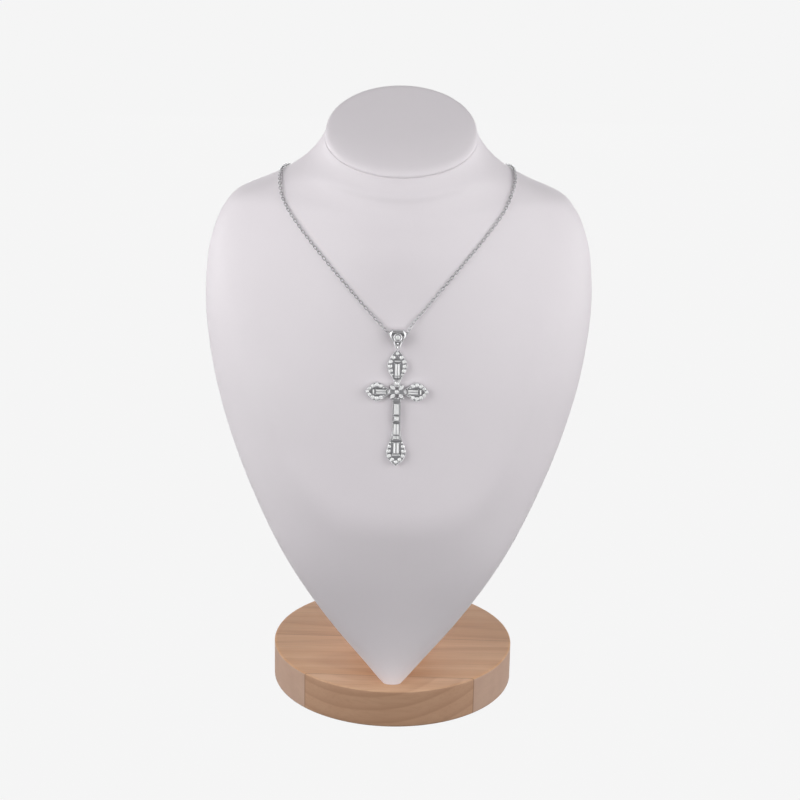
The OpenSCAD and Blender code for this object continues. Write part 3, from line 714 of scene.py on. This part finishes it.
def bail_path():
    """Outer side profile, from the foot up the front, over the chain and down the back: y, z and outward normal."""
    R1, R2 = 2.8, 0.95
    b = math.asin((R1 - R2) / BAIL_L)
    pts = []
    for a in np.linspace(-62, -4, 6):      # round the foot, front half
        w = math.radians(a)
        pts.append((-R2 * math.cos(w), -BAIL_L + R2 * math.sin(w), -math.cos(w), math.sin(w)))
    for s in np.linspace(0, 1, 15):
        c = (1 - s) * R2 + s * R1
        z0 = -BAIL_L * (1 - s)
        pts.append((-c * math.cos(b), z0 - c * math.sin(b), -math.cos(b), -math.sin(b)))
    for a in np.linspace(188, -8, 34):     # over the top
        w = math.radians(a)
        if a == 188 or a == -8:
            continue
        pts.append((R1 * math.cos(w), R1 * math.sin(w), math.cos(w), math.sin(w)))
    for s in np.linspace(1, 0, 15):
        c = (1 - s) * R2 + s * R1
        z0 = -BAIL_L * (1 - s)
        pts.append((c * math.cos(b), z0 - c * math.sin(b), math.cos(b), -math.sin(b)))
    for a in np.linspace(-4, -62, 6):
        w = math.radians(a)
        pts.append((R2 * math.cos(w), -BAIL_L + R2 * math.sin(w), math.cos(w), math.sin(w)))
    keep = [pts[0]]
    for q in pts[1:]:
        if math.hypot(q[0] - keep[-1][0], q[1] - keep[-1][1]) > 0.08:
            keep.append(q)
    return np.array(keep)


path = bail_path()
half_w = rows_at(BAIL, path[:, 1])[:, 1]
band = np.minimum(1.15, (half_w - 0.75) * 0.6)
ACROSS = np.array([0.0, 0.09, 0.34, 0.6, 0.74, 0.88, 1.0])   # over a band, from its outer edge
SWELL = np.array([0.0, 0.07, 0.26, 0.42, 0.42, 0.34, 0.16])
cols = np.hstack([-half_w[:, None] + band[:, None] * ACROSS, np.tile([-0.75, 0, 0.75], (len(path), 1)), half_w[:, None] - band[:, None] * ACROSS[::-1]])
crown = np.r_[SWELL, 0.30, 0.30, 0.30, SWELL[::-1]]
nc = cols.shape[1]
INSIDE = -0.72


def open_cell(i, j):
    """Cells of the strip that are cut away: the open front and the room for the cross's ring."""
    zc = (path[i, 1] + path[i + 1, 1]) / 2
    yc = (path[i, 0] + path[i + 1, 0]) / 2
    return (yc < 0 and -6.0 < zc < 0.9 and 6 <= j <= 9) or (math.hypot(yc, zc + BAIL_L) < 1.9 and 7 <= j <= 8)


rows_n = len(path)
verts, faces = [], []
for inside in (False, True):
    for i in range(rows_n):
        for j in range(nc):
            o = INSIDE if inside else (crown[j] - 0.42) * band[i] / 1.15
            verts.append((cols[i, j], path[i, 0] + path[i, 2] * o, path[i, 1] + path[i, 3] * o))
inner = rows_n * nc
cells = {(i, j) for i in range(rows_n - 1) for j in range(nc - 1) if not open_cell(i, j)}
inward = []
for i, j in sorted(cells):
    q = (i * nc + j, i * nc + j + 1, (i + 1) * nc + j + 1, (i + 1) * nc + j)
    faces.append(q)
    inward.append(len(faces))
    faces.append(tuple(k + inner for k in q[::-1]))
    for (di, dj), (e0, e1) in (((-1, 0), (q[0], q[1])), ((0, 1), (q[1], q[2])), ((1, 0), (q[2], q[3])), ((0, -1), (q[3], q[0]))):
        if (i + di, j + dj) not in cells:
            faces.append((e1, e0, e0 + inner, e1 + inner))
used = sorted({k for q in faces for k in q})
index = {k: n for n, k in enumerate(used)}
verts = np.array(verts)[used]
faces = [tuple(index[k] for k in q) for q in faces]
bail = new_object("bail_strip", on_chest(verts), faces, METAL, "bail", slot="bail_metal")
# the strip's inner faces take the dark metal: painted shade inside the bail
bail.data.materials.append(PAINTED_SHADE_METAL)
for k in inward:
    bail.data.polygons[k].material_index = 1


def apply_modifiers(obj, *mods):
    """Adds modifiers, then keeps their result as the mesh."""
    for kind, settings in mods:
        md = obj.modifiers.new(kind.lower(), kind)
        for k, val in settings.items():
            setattr(md, k, val)
    deps = bpy.context.evaluated_depsgraph_get()
    done = bpy.data.meshes.new_from_object(obj.evaluated_get(deps))
    obj.modifiers.clear()
    old = obj.data
    obj.data = done
    bpy.data.meshes.remove(old)


bm = bmesh.new()
bm.from_mesh(bail.data)
bmesh.ops.recalc_face_normals(bm, faces=bm.faces)
bm.to_mesh(bail.data)
bm.free()
apply_modifiers(bail, ("BEVEL", dict(width=0.00011, segments=2, limit_method="ANGLE", angle_limit=math.radians(50))))
bail.data.polygons.foreach_set("use_smooth", [True] * len(bail.data.polygons))
bail.data.set_sharp_from_angle(angle=math.radians(50))
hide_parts("bail")

# its bezel, beading, drop bead and bar
fit = Parts()
BZ = -1.6
prof = [(1.2, 1.55), (2.15, 1.6), (2.3, 1.75), (2.4, 2.4), (2.52, 3.1), (2.5, 3.3), (2.38, 3.42), (2.2, 3.44), (2.02, 3.36), (1.9, 3.2), (1.84, 2.9), (1.8, 2.45), (1.0, 2.3)]
v, f = lathe(prof, 56, "-y")
fit.add(v + [0, 0, BZ], f)
for k in range(30):
    w = 2 * math.pi * k / 30
    fit.add(*ball((2.42 * math.cos(w), -3.18, BZ + 2.42 * math.sin(w)), 0.2, 8, 5))
for k in range(4):
    w = math.radians(45 + 90 * k)
    fit.add(*ball((1.5 * math.cos(w), -3.27, BZ + 1.5 * math.sin(w)), 0.26, 10, 6, (1, 1.1, 1)))
fit.add(*ball((0, -2.2, -5.15), 0.66, 16, 10))
v, f = lathe([(0.2, -1.16), (0.5, -1.12), (0.55, -1.0), (0.45, -0.92), (0.45, 0.92), (0.55, 1.0), (0.5, 1.12), (0.2, 1.16)], 24, "x")
fit.add(v + [0, 0, -BAIL_L], f)
fittings = fit.build("bail_bezel", METAL, "bail", place=on_chest, sharp=40, slot="bail_metal")
# a dark ring round the bail's stone, between its lip and the beading: painted shade in that groove
prof = [(1.42, 3.17), (1.46, 3.22), (1.75, 3.25), (2.03, 3.29), (2.03, 2.95), (1.80, 2.95)]
a = np.arange(56) * 2 * math.pi / 56
v, f = loft([np.c_[r * np.cos(a), np.full(56, -h), r * np.sin(a) + BZ] for r, h in prof + prof[:1]], caps=False)
channel = new_object("bail_channel", on_chest(v), f, PAINTED_SHADE_METAL, "bail", sharp=40, slot="bail_metal")

# ------------------------------------------------------------------ stones


def brilliant(cx, cz, r, y_table, depth=0.86, n=8):
    """Round brilliant, its table towards the front."""
    h_crown = 0.30 * r
    yg = y_table + h_crown
    a = np.arange(n) * 2 * math.pi / n

    def ring(rad, y, shift=0.0, k=n):
        q = np.arange(k) * 2 * math.pi / k + shift
        return [(cx + rad * math.cos(w), y, cz + rad * math.sin(w)) for w in q]

    step = math.pi / n
    v = ring(0.56 * r, y_table, step)                        # table, 0..n-1
    v += ring(0.78 * r, y_table + h_crown * 0.45)            # kite tips, n..2n-1
    v += ring(r, yg, 0, 2 * n)                               # girdle top, 2n..4n-1
    v += ring(r, yg + 0.05 * r, 0, 2 * n)                    # girdle foot, 4n..6n-1
    v += ring(0.42 * r, yg + 0.05 * r + depth * r * 0.55, step)  # pavilion, 6n..7n-1
    v += [(cx, yg + 0.05 * r + depth * r, cz)]               # culet
    f = [tuple(range(n - 1, -1, -1))]
    for i in range(n):
        j = (i + 1) % n
        g0, g1, g2 = 2 * n + 2 * i, 2 * n + (2 * i + 1) % (2 * n), 2 * n + (2 * i + 2) % (2 * n)
        f.append((n + i, i, (i - 1) % n))
        f.append((n + i, g0, g1, i))
        f.append((n + j, i, g1, g2))
        for a0, a1 in ((g0, g1), (g1, g2)):
            f.append((a0, a0 + 2 * n, a1 + 2 * n, a1))
        p0, p1, p2 = g0 + 2 * n, g1 + 2 * n, g2 + 2 * n
        w, wp = 6 * n + i, 6 * n + (i - 1) % n
        f.append((p0, wp, w))
        f.append((p0, w, p1))
        f.append((p1, w, p2))
        f.append((wp, 7 * n, w))
    return np.array(v), f


def step_cut(loop, y_table, bevel=0.2, crown=0.26, depth=1.25, keel=True):
    """Step-cut stone over a straight-sided loop of x, z."""
    loop = turned(loop)

    def at(inset, y):
        q = offset_loop(loop, inset) if inset else loop
        return np.c_[q[:, 0], np.full(len(q), y), q[:, 1]]

    w = min(np.ptp(loop[:, 0]), np.ptp(loop[:, 1]))
    loops = [at(w * 0.44, y_table + crown + depth), at(w * 0.27, y_table + crown + depth * 0.62), at(w * 0.10, y_table + crown + depth * 0.25),
             at(0, y_table + crown + 0.06), at(0, y_table + crown), at(bevel * 0.5, y_table + crown * 0.42), at(bevel, y_table)]
    return loft(loops)


def ridged(shape, heights, slant=0.0):
    """Splits the flat table of a four-sided step cut into long facets; heights are those of the lines between them."""
    v, f = shape
    table = list(f.pop())
    q = v[table]
    long_z = np.ptp(q[:, 2]) >= np.ptp(q[:, 0])
    key, other = (2, 0) if long_z else (0, 2)
    order = sorted(range(4), key=lambda i: q[i, key])
    low = sorted(order[:2], key=lambda i: q[i, other])
    high = sorted(order[2:], key=lambda i: q[i, other])
    (ia, ib), (id_, ic) = [table[i] for i in low], [table[i] for i in high]
    n, k = len(v), len(heights)
    new = []
    for (i0, i1), way in (((ia, ib), 1), ((id_, ic), -1)):
        for j, h in enumerate(heights):
            t = (j + 1) / (k + 1)
            p = v[i0] * (1 - t) + v[i1] * t
            p[key] += 0.15 * way
            p[other] += slant * way
            p[1] -= h
            new.append(p)
    low_i, high_i = [n + j for j in range(k)], [n + k + j for j in range(k)]
    left, right = [ia] + low_i + [ib], [id_] + high_i + [ic]
    for j in range(k + 1):
        f.append((left[j], left[j + 1], right[j + 1], right[j]))
    f.append(tuple([ia, ib] + low_i[::-1]))
    f.append(tuple([id_] + high_i + [ic]))
    return np.vstack([v, new]), f


def pointed_oval(l, w, n=20):
    """Pointed oval of length l along x and width w."""
    R = (l * l + w * w) / (4 * w)
    a0 = math.asin(l / 2 / R)
    p = [(R * math.sin(a), R * math.cos(a) - (R - w / 2)) for a in np.linspace(-a0, a0, n)]
    return turned(p + [(x, -z) for x, z in p[::-1][1:-1]])


def turn(p, deg):
    a = math.radians(deg)
    p = np.asarray(p, float)
    return np.c_[p[:, 0] * math.cos(a) - p[:, 1] * math.sin(a), p[:, 0] * math.sin(a) + p[:, 1] * math.cos(a)]


def stone(name, shape, body="cross", place=on_cross, node=None):
    v, f = shape
    o = new_object(name, place(v), f, STONE, body, smooth=False, slot="stones")
    bm = bmesh.new()
    bm.from_mesh(o.data)
    bmesh.ops.recalc_face_normals(bm, faces=bm.faces)
    bm.to_mesh(o.data)
    bm.free()
    if node:
        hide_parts(node)
    return o


stone("bail_brilliant", brilliant(0, BZ, 1.74, -3.42, 0.5), "bail", on_chest, "bail_stone")

TABLE = 0.02
TOP_BAR = (0, 17.9, 3.3, 0.9)
TOP_BAG = (0.75, 12.9, 1.25, 7.0)
ARM_BAG = (9.2, 0.72, 5.8, 1.2)
ARM_END = (13.6, 0, 0.9, 2.6)
ARM_COLLAR = (5.05, 0, 0.7, 2.4)
SHAFT_BAG = (0, -10.15, 3.1, 6.3)
SHAFT_SQ = (0, -15.75, 3.1, 2.8)
FOOT_SQ = (0.98, -26.75, 1.7, 2.0)
BOT_BAG = (0.95, -33, 1.35, 6.4)
BOT_BAR = (0, -37.2, 4.6, 0.8)
TAPER = [(0.1, -18.7), (1.45, -18.7), (1.85, -25.1), (0.1, -25.1)]
PETAL = (2.5 * math.sqrt(2), 3.6, 2.2)


def block(s, side=1, q=1):
    return rect(side * s[0], q * s[1], s[2], s[3])


cuts = {
    "top_bar_stone": block(TOP_BAR), "top_baguette_left": block(TOP_BAG, -1), "top_baguette_right": block(TOP_BAG),
    "left_baguette_upper": block(ARM_BAG, -1, 1), "left_baguette_lower": block(ARM_BAG, -1, -1),
    "left_end_stone": block(ARM_END, -1), "left_collar_stone": block(ARM_COLLAR, -1),
    "right_baguette_upper": block(ARM_BAG, 1, 1), "right_baguette_lower": block(ARM_BAG, 1, -1),
    "right_end_stone": block(ARM_END), "right_collar_stone": block(ARM_COLLAR),
    "shaft_baguette": block(SHAFT_BAG), "shaft_square_stone": block(SHAFT_SQ),
    "taper_left": [(-a, b) for a, b in TAPER], "taper_right": TAPER,
    "foot_square_left": block(FOOT_SQ, -1), "foot_square_right": block(FOOT_SQ),
    "bottom_baguette_left": block(BOT_BAG, -1), "bottom_baguette_right": block(BOT_BAG), "bottom_bar_stone": block(BOT_BAR),
}
for name, loop in cuts.items():
    w = min(np.ptp(np.asarray(loop)[:, 0]), np.ptp(np.asarray(loop)[:, 1]))
    cut = step_cut(loop, TABLE, bevel=min(0.24, w * 0.2), depth=min(1.2, 0.75 * w + 0.3))
    lines = [0.08, 0.02, 0.06] if w > 2.5 else [0.07] if w > 1.1 else [0.05]
    if not name.startswith(("left_baguette", "right_baguette")):   # those of the arms stay flat
        cut = ridged(cut, lines, 0.35 if name == "shaft_square_stone" else 0.0)
    stone(name + "_cut", cut, node=name)
for name, deg in (("petal_upper_right", 45), ("petal_upper_left", 135), ("petal_lower_left", 225), ("petal_lower_right", 315)):
    loop = turn(pointed_oval(PETAL[1], PETAL[2], 9) + [PETAL[0], 0], deg)
    stone(name + "_cut", step_cut(loop, 0.12, bevel=0.26, depth=0.9), node=name)
stone("collar_cut", brilliant(0, 4.75, 1.1, 0.15, 0.8), node="collar_stone")
stone("centre_cut", brilliant(0, 0, 1.05, -0.05, 0.8), node="centre_stone")

# small round stones of the lobes: u, v, radius
PAVE = [(0, 22.4, 0.92)]
PAVE += [(s * u, w, r) for s in (1, -1) for u, w, r in ((2.35, 20.0, 1.05), (3.85, 17.5, 1.08), (4.15, 14.8, 1.08), (3.65, 12.25, 1.0), (2.85, 10.1, 0.62))]
for s in (1, -1):
    PAVE += [(s * 17.0, 0, 0.8)]
    PAVE += [(s * u, q * w, r) for q in (1, -1) for u, w, r in ((15.75, 1.8, 0.92), (13.9, 3.3, 1.05), (11.6, 3.95, 1.08), (9.3, 3.3, 1.02), (7.6, 2.3, 0.42))]
PAVE += [(0, -41.35, 1.0)]
PAVE += [(s * u, w, r) for s in (1, -1) for u, w, r in ((2.2, -39.95, 1.05), (3.85, -37.75, 1.05), (4.25, -35.0, 1.08), (3.9, -32.2, 0.98), (3.35, -29.9, 0.5))]
pave = Parts()
for u, w, r in PAVE:
    pave.add(*brilliant(u, w, r * 1.1, 0.42, 0.62))
pave.add(*step_cut(rect(0.72, 8.55, 1.1, 0.9), 0.1, 0.15, 0.2, 0.8))
pave.add(*step_cut(rect(-0.72, 8.55, 1.1, 0.9), 0.1, 0.15, 0.2, 0.8))
v = on_cross(np.vstack(pave.v))
pave_obj = new_object("pave_stones", v, pave.f, STONE, "cross", smooth=False, slot="stones")
bm = bmesh.new()
bm.from_mesh(pave_obj.data)
bmesh.ops.recalc_face_normals(bm, faces=bm.faces)
bm.to_mesh(pave_obj.data)
bm.free()

# ------------------------------------------------------------------- metal
TOP = np.array([[6.9, 2.3], [9, 3.3], [11, 4.6], [13.2, 5.5], [15.4, 5.75], [17.5, 5.3], [19.6, 4.3], [21.6, 3], [23.4, 1.6], [24.7, 0.45]])
ARM = np.array([[4.2, 1.6], [6, 2.4], [8, 4.1], [10, 5.2], [11.8, 5.5], [13.5, 5], [15.3, 3.7], [16.8, 2.1], [18.2, 0.25]])
BOTTOM = np.array([[23, 2.55], [26, 2.9], [29.5, 3.9], [33, 5.1], [36.3, 5.75], [38.6, 5.1], [40.6, 3.7], [42.3, 1.9], [43.4, 0.3]])
BACK, FLOOR, RIM_Y, FRAME_Y = 2.65, 1.95, 0.65, 0.08


def lobe_loop(rows, deg, n=70):
    """Outline of a lobe, evenly spaced along its edge; deg is where it points."""
    w = np.linspace(rows[0, 0], rows[-1, 0], 900)
    h = np.maximum(rows_at(rows, w)[:, 1], 0.03)
    side = np.c_[w, h]
    d = np.r_[0, np.cumsum(np.linalg.norm(np.diff(side, axis=0), axis=1))]
    s = np.linspace(0, d[-1], n)
    p = np.c_[np.interp(s, d, side[:, 0]), np.interp(s, d, side[:, 1])]
    p = np.vstack([p, (p * [1, -1])[::-1]])
    return turned(turn(p, deg))


metal = Parts()
painted_shade_parts = Parts()
beads = Parts()
for rows, deg in ((TOP, 90), (ARM, 0), (ARM, 180), (BOTTOM, -90)):
    loop = lobe_loop(rows, deg)
    # a dark floor in each lobe, under its stones: painted shade
    painted_shade_parts.add(*raised(loop, [(0.5, FLOOR + 0.2), (0.5, FLOOR - 0.04)]))
    metal.add(*raised(loop, [(0.14, BACK), (0.04, BACK - 0.05), (0.0, BACK - 0.16), (0.0, RIM_Y + 0.12), (0.04, RIM_Y + 0.04), (0.12, RIM_Y), (0.30, RIM_Y), (0.38, RIM_Y + 0.05), (0.42, RIM_Y + 0.16), (0.46, FLOOR)]))
    # beaded edge
    edge = offset_loop(loop, 0.20)
    closed = np.vstack([edge, edge[:1]])
    d = np.r_[0, np.cumsum(np.linalg.norm(np.diff(closed, axis=0), axis=1))]
    k = int(d[-1] / 0.44)
    for s in np.arange(k) * d[-1] / k:
        x, z = np.interp(s, d, closed[:, 0]), np.interp(s, d, closed[:, 1])
        base_end = rows[0, 0] + 0.8
        along = turn([(x, z)], -deg)[0][0]
        if along > base_end:
            beads.add(*ball((x, RIM_Y, z), 0.19, 6, 4))


def frame_round(loop, wall=0.34, y_top=FRAME_Y, y_foot=FLOOR, y_back=BACK - 0.1):
    """Walls that stand round a stone, open down to the floor."""
    out = offset_loop(turned(loop), -wall)
    steps = [(0.0, y_back), (0.0, y_top + 0.14), (0.03, y_top + 0.05), (0.08, y_top), (wall - 0.2, y_top), (wall - 0.16, y_top + 0.05), (wall - 0.14, y_top + 0.2), (wall - 0.13, y_foot)]
    metal.add(*raised(out, steps))


def bar(cx, cz, w, h, y0, y1, r=0.1, to=metal):
    """Solid bar with rounded front edges, from y0 at the back to y1."""
    to.add(*raised(rect(cx, cz, w, h, min(r, w / 2.2, h / 2.2)), [(0, y0), (0, y1 + r), (r * 0.3, y1 + r * 0.3), (r, y1)]))


for name, loop in cuts.items():
    frame_round(loop, 0.3 if name.startswith("taper") else 0.34)
for s in (1, -1):
    frame_round(rect(s * 0.72, 8.55, 1.1, 0.9), 0.25)
for deg in (45, 135, 225, 315):
    frame_round(turn(pointed_oval(PETAL[1], PETAL[2], 9) + [PETAL[0], 0], deg), 0.3, 0.32, 1.7)
    for e in (PETAL[0] - PETAL[1] / 2 - 0.05, PETAL[0] + PETAL[1] / 2 + 0.05):
        a = math.radians(deg)
        beads.add(*ball((e * math.cos(a), 0.2, e * math.sin(a)), 0.3, 8, 6))


def round_bezel(cx, cz, r, y_top, y_foot=1.8, prongs=4, at=45):
    a = np.arange(36) * 2 * math.pi / 36
    circle = np.c_[cx + (r + 0.3) * np.cos(a), cz + (r + 0.3) * np.sin(a)]
    metal.add(*raised(circle, [(0.0, BACK - 0.1), (0.0, y_top + 0.12), (0.1, y_top), (0.2, y_top), (0.28, y_top + 0.12), (0.32, y_foot)]))
    for k in range(prongs):
        w = math.radians(at + 360 * k / prongs)
        beads.add(*ball((cx + (r + 0.02) * math.cos(w), y_top - 0.06, cz + (r + 0.02) * math.sin(w)), 0.27, 8, 6))


round_bezel(0, 4.75, 1.1, 0.45)
round_bezel(0, 0, 1.05, 0.25, at=0)
# middle, collar and shaft
metal.add(*raised(rect(0, 5.0, 3.9, 4.4, 0.5), [(0.1, BACK), (0, BACK - 0.1), (0, 1.0), (0.12, 0.88)]))
metal.add(*raised(rect(0, 0, 8.8, 2.9, 0.3), [(0.1, BACK), (0, BACK - 0.1), (0, 1.1), (0.12, 0.98)]))
metal.add(*raised(rect(0, -13.6, 4.3, 20.6, 0.3), [(0.1, BACK), (0, BACK - 0.1), (0, 1.0), (0.12, 0.88)]))
# painted shade: dark floor under the shaft's, the middle's and the petals' stones
painted_shade_parts.add(*raised(rect(0, -13.6, 4.0, 20.3), [(0, 0.95), (0, 0.84)]))
painted_shade_parts.add(*raised(rect(0, 0, 8.5, 2.6), [(0, 1.05), (0, 0.94)]))
for deg in (45, 135, 225, 315):
    painted_shade_parts.add(*raised(turn(pointed_oval(PETAL[1] + 0.2, PETAL[2] + 0.2, 9) + [PETAL[0], 0], deg), [(0, 1.3), (0, 1.2)]))
# cross bars and rails; those added to the dark plates, the bars above the shaft's baguette and below its square and
# the rails beside the shaft, are painted shade between the stones
bar(0, 6.55, 3.7, 0.55, 1.6, 0.5, 0.16)
bar(0, -6.3, 3.5, 0.72, 1.6, 0.12, 0.2, painted_shade_parts)
bar(0, -3.95, 2.6, 0.7, 1.6, 0.5, 0.2)
bar(0, -18.02, 3.9, 0.75, 1.6, -0.02, 0.22, painted_shade_parts)
for s in (1, -1):
    bar(s * 1.98, -12.2, 0.34, 11.6, 1.6, 0.02, 0.12, painted_shade_parts)
    bar(s * 4.25, 0, 0.6, 2.9, 1.6, 0.25, 0.16)
    # long claws that hold the tapered pair
    metal.add(*raised(turned([(s * 1.9, -18.4), (s * 2.25, -18.4), (s * 2.62, -28.2), (s * 2.2, -28.2)]), [(0, 1.6), (0, 0.12), (0.1, 0.0)]))
# corner beads of the long stones
for s in (1, -1):
    for w in (9.3, 16.6):
        beads.add(*ball((s * 1.62, 0.02, w), 0.26, 8, 6))
    for u in (6.15, 12.3):
        for q in (1, -1):
            beads.add(*ball((s * u, 0.02, q * 1.56), 0.26, 8, 6))
    for w in (-29.7, -36.4):
        beads.add(*ball((s * 1.9, 0.02, w), 0.27, 8, 6))
    for w in (-7.1, -13.2, -14.3, -17.2):
        beads.add(*ball((s * 1.72, -0.02, w), 0.26, 8, 6))
    for w in (-25.4, -28.0):
        beads.add(*ball((s * 2.05, 0.0, w), 0.26, 8, 6))
# beads that hold the small round stones, one each side between neighbours


def pave_beads(chain_of):
    for (u0, w0, r0), (u1, w1, r1) in zip(chain_of[:-1], chain_of[1:]):
        cx, cz = (u0 * r1 + u1 * r0) / (r0 + r1), (w0 * r1 + w1 * r0) / (r0 + r1)
        dx, dz = u1 - u0, w1 - w0
        d = math.hypot(dx, dz)
        for s in (1, -1):
            beads.add(*ball((cx - s * dz / d * 0.72, 0.62, cz + s * dx / d * 0.72), 0.27, 8, 6, (1, 1.6, 1)))


def ring_of(items, key):
    return sorted(items, key=key)


top = [p for p in PAVE if p[1] > 9]
pave_beads(ring_of([p for p in top if p[0] >= 0], lambda p: p[1]))
pave_beads(ring_of([p for p in top if p[0] <= 0], lambda p: p[1]))
for s in (1, -1):
    arm = [p for p in PAVE if abs(p[1]) < 6 and p[0] * s > 0]
    pave_beads(ring_of([p for p in arm if p[1] >= 0], lambda p: abs(p[0])))
    pave_beads(ring_of([p for p in arm if p[1] <= 0], lambda p: abs(p[0])))
foot = [p for p in PAVE if p[1] < -20]
pave_beads(ring_of([p for p in foot if p[0] >= 0], lambda p: p[1]))
pave_beads(ring_of([p for p in foot if p[0] <= 0], lambda p: p[1]))

# ring on the bar, and its neck
n1, n2 = 40, 14
ring = []
for i in range(n1):
    a = 2 * math.pi * i / n1
    c = np.array([0, math.cos(a), math.sin(a)])
    ring.append(np.array([c * 1.15 + 0.42 * (math.cos(b) * c + math.sin(b) * np.array([1.0, 0, 0])) for b in (2 * math.pi * j / n2 for j in range(n2))]))
v = np.vstack(ring) + [0, 0, DROP]
f = [(i * n2 + j, i * n2 + (j + 1) % n2, ((i + 1) % n1) * n2 + (j + 1) % n2, ((i + 1) % n1) * n2 + j) for i in range(n1) for j in range(n2)]
metal.add(v, f)
metal.add(*raised(rect(0, 23.95, 0.84, 1.3, 0.3), [(0.1, 1.9), (0, 1.8), (0, 0.0), (0.1, -0.1)]))

cross = metal.build("cross_metal", METAL, "cross", place=on_cross, sharp=35, slot="cross_metal")
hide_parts("cross_frame")
# the cross's dark plates, bars and rails in the dark metal: painted shade
painted_shade_obj = painted_shade_parts.build("cross_painted_shade", PAINTED_SHADE_METAL, "cross", place=on_cross, sharp=35, slot="cross_metal")
bead_obj = beads.build("cross_beads", METAL, "cross", place=on_cross, slot="cross_metal")
for o in (cross, painted_shade_obj, bead_obj, fittings, channel, chain, base, bust, cap, clasp):
    bm = bmesh.new()
    bm.from_mesh(o.data)
    bmesh.ops.recalc_face_normals(bm, faces=bm.faces)
    bm.to_mesh(o.data)
    bm.free()

# ------------------------------------------------------------ floor, lights
floor_mat = Mat("floor_pale")
noise = floor_mat.node("TexNoise", Scale=3.0, Detail=2.0)
floor_mat.link(floor_mat.node("TexCoord").outputs["Object"], noise.inputs["Vector"])
floor_mat.link(floor_mat.ramp(noise.outputs[0], [(0.3, (0.0015, 0.0015, 0.0015)), (0.7, (0.002, 0.002, 0.002))]), floor_mat.p.inputs["Base Color"])
floor_mat.set(Roughness=0.9, Specular_IOR_Level=0.0, Emission_Color=(*lin(245, 245, 245), 1), Emission_Strength=1.0)
# a wide round sheet whose far rim rises, so that low views show no horizon
sheet = [(20, -0.3), (2000, -0.3), (6000, -0.3), (7400, 80), (8400, 480), (9000, 1200), (9300, 2600), (9400, 5200)]
a = np.arange(72) * 2 * math.pi / 72
v, f = loft([np.c_[r * np.cos(a), r * np.sin(a), np.full(72, h)] for r, h in sheet], cap_end=False)
floor = new_object("floor", v, f, floor_mat.m, "root")
floor.visible_diffuse = False
floor.visible_glossy = False
floor.visible_shadow = False


def area(name, pos, target, size, power, colour=(1, 1, 1)):
    d = bpy.data.lights.new(name, "AREA")
    d.shape = "RECTANGLE"
    d.size, d.size_y = size
    d.energy = power
    d.color = colour
    o = bpy.data.objects.new(name, d)
    o.location = pos
    o.rotation_euler = (Vector(target) - Vector(pos)).to_track_quat("-Z", "Y").to_euler()
    bpy.context.scene.collection.objects.link(o)
    return o


# soft boxes, low and to both sides, none above: azimuth from the front, elevation, watts
CENTRE = Vector((0, -0.02, 0.2))
BOXES = [(-85, 12, 7.2), (85, 12, 6.8), (-55, 12, 4.7), (55, 12, 4.3), (-28, 3, 1.7), (28, 3, 3.5), (0, 3, 0.9),
         (-55, 35, 5.6), (55, 35, 4.1), (-28, 35, 1.9), (28, 35, 2.0), (-95, 40, 1.6), (95, 40, 1.6), (-120, 4, 6.2), (120, 4, 4.9), (180, 6, 9.0)]
for az, el, watts in BOXES:
    a, e = math.radians(az), math.radians(el)
    at = CENTRE + Vector((math.sin(a) * math.cos(e), -math.cos(a) * math.cos(e), math.sin(e))) * 1.6
    box = area("soft_box", at, CENTRE, (0.8, 0.8), watts)
    box.visible_camera = False
# two low cards that only the polished metal and the stones mirror
for az in (-70, 70):
    a, e = math.radians(az), math.radians(-28)
    at = CENTRE + Vector((math.sin(a) * math.cos(e), -math.cos(a) * math.cos(e), math.sin(e))) * 1.6
    card = area("low_card", at, CENTRE, (0.9, 0.9), 4.5)
    card.visible_camera = False
    card.visible_diffuse = False
world = bpy.data.worlds.new("studio")
bpy.context.scene.world = world
world.use_nodes = True
world.node_tree.nodes["Background"].inputs["Color"].default_value = (1.0, 0.99, 0.995, 1)
world.node_tree.nodes["Background"].inputs["Strength"].default_value = 0.38
world.cycles_visibility.diffuse = False
bpy.context.scene.view_settings.view_transform = "Standard"
bpy.context.scene.view_settings.look = "None"
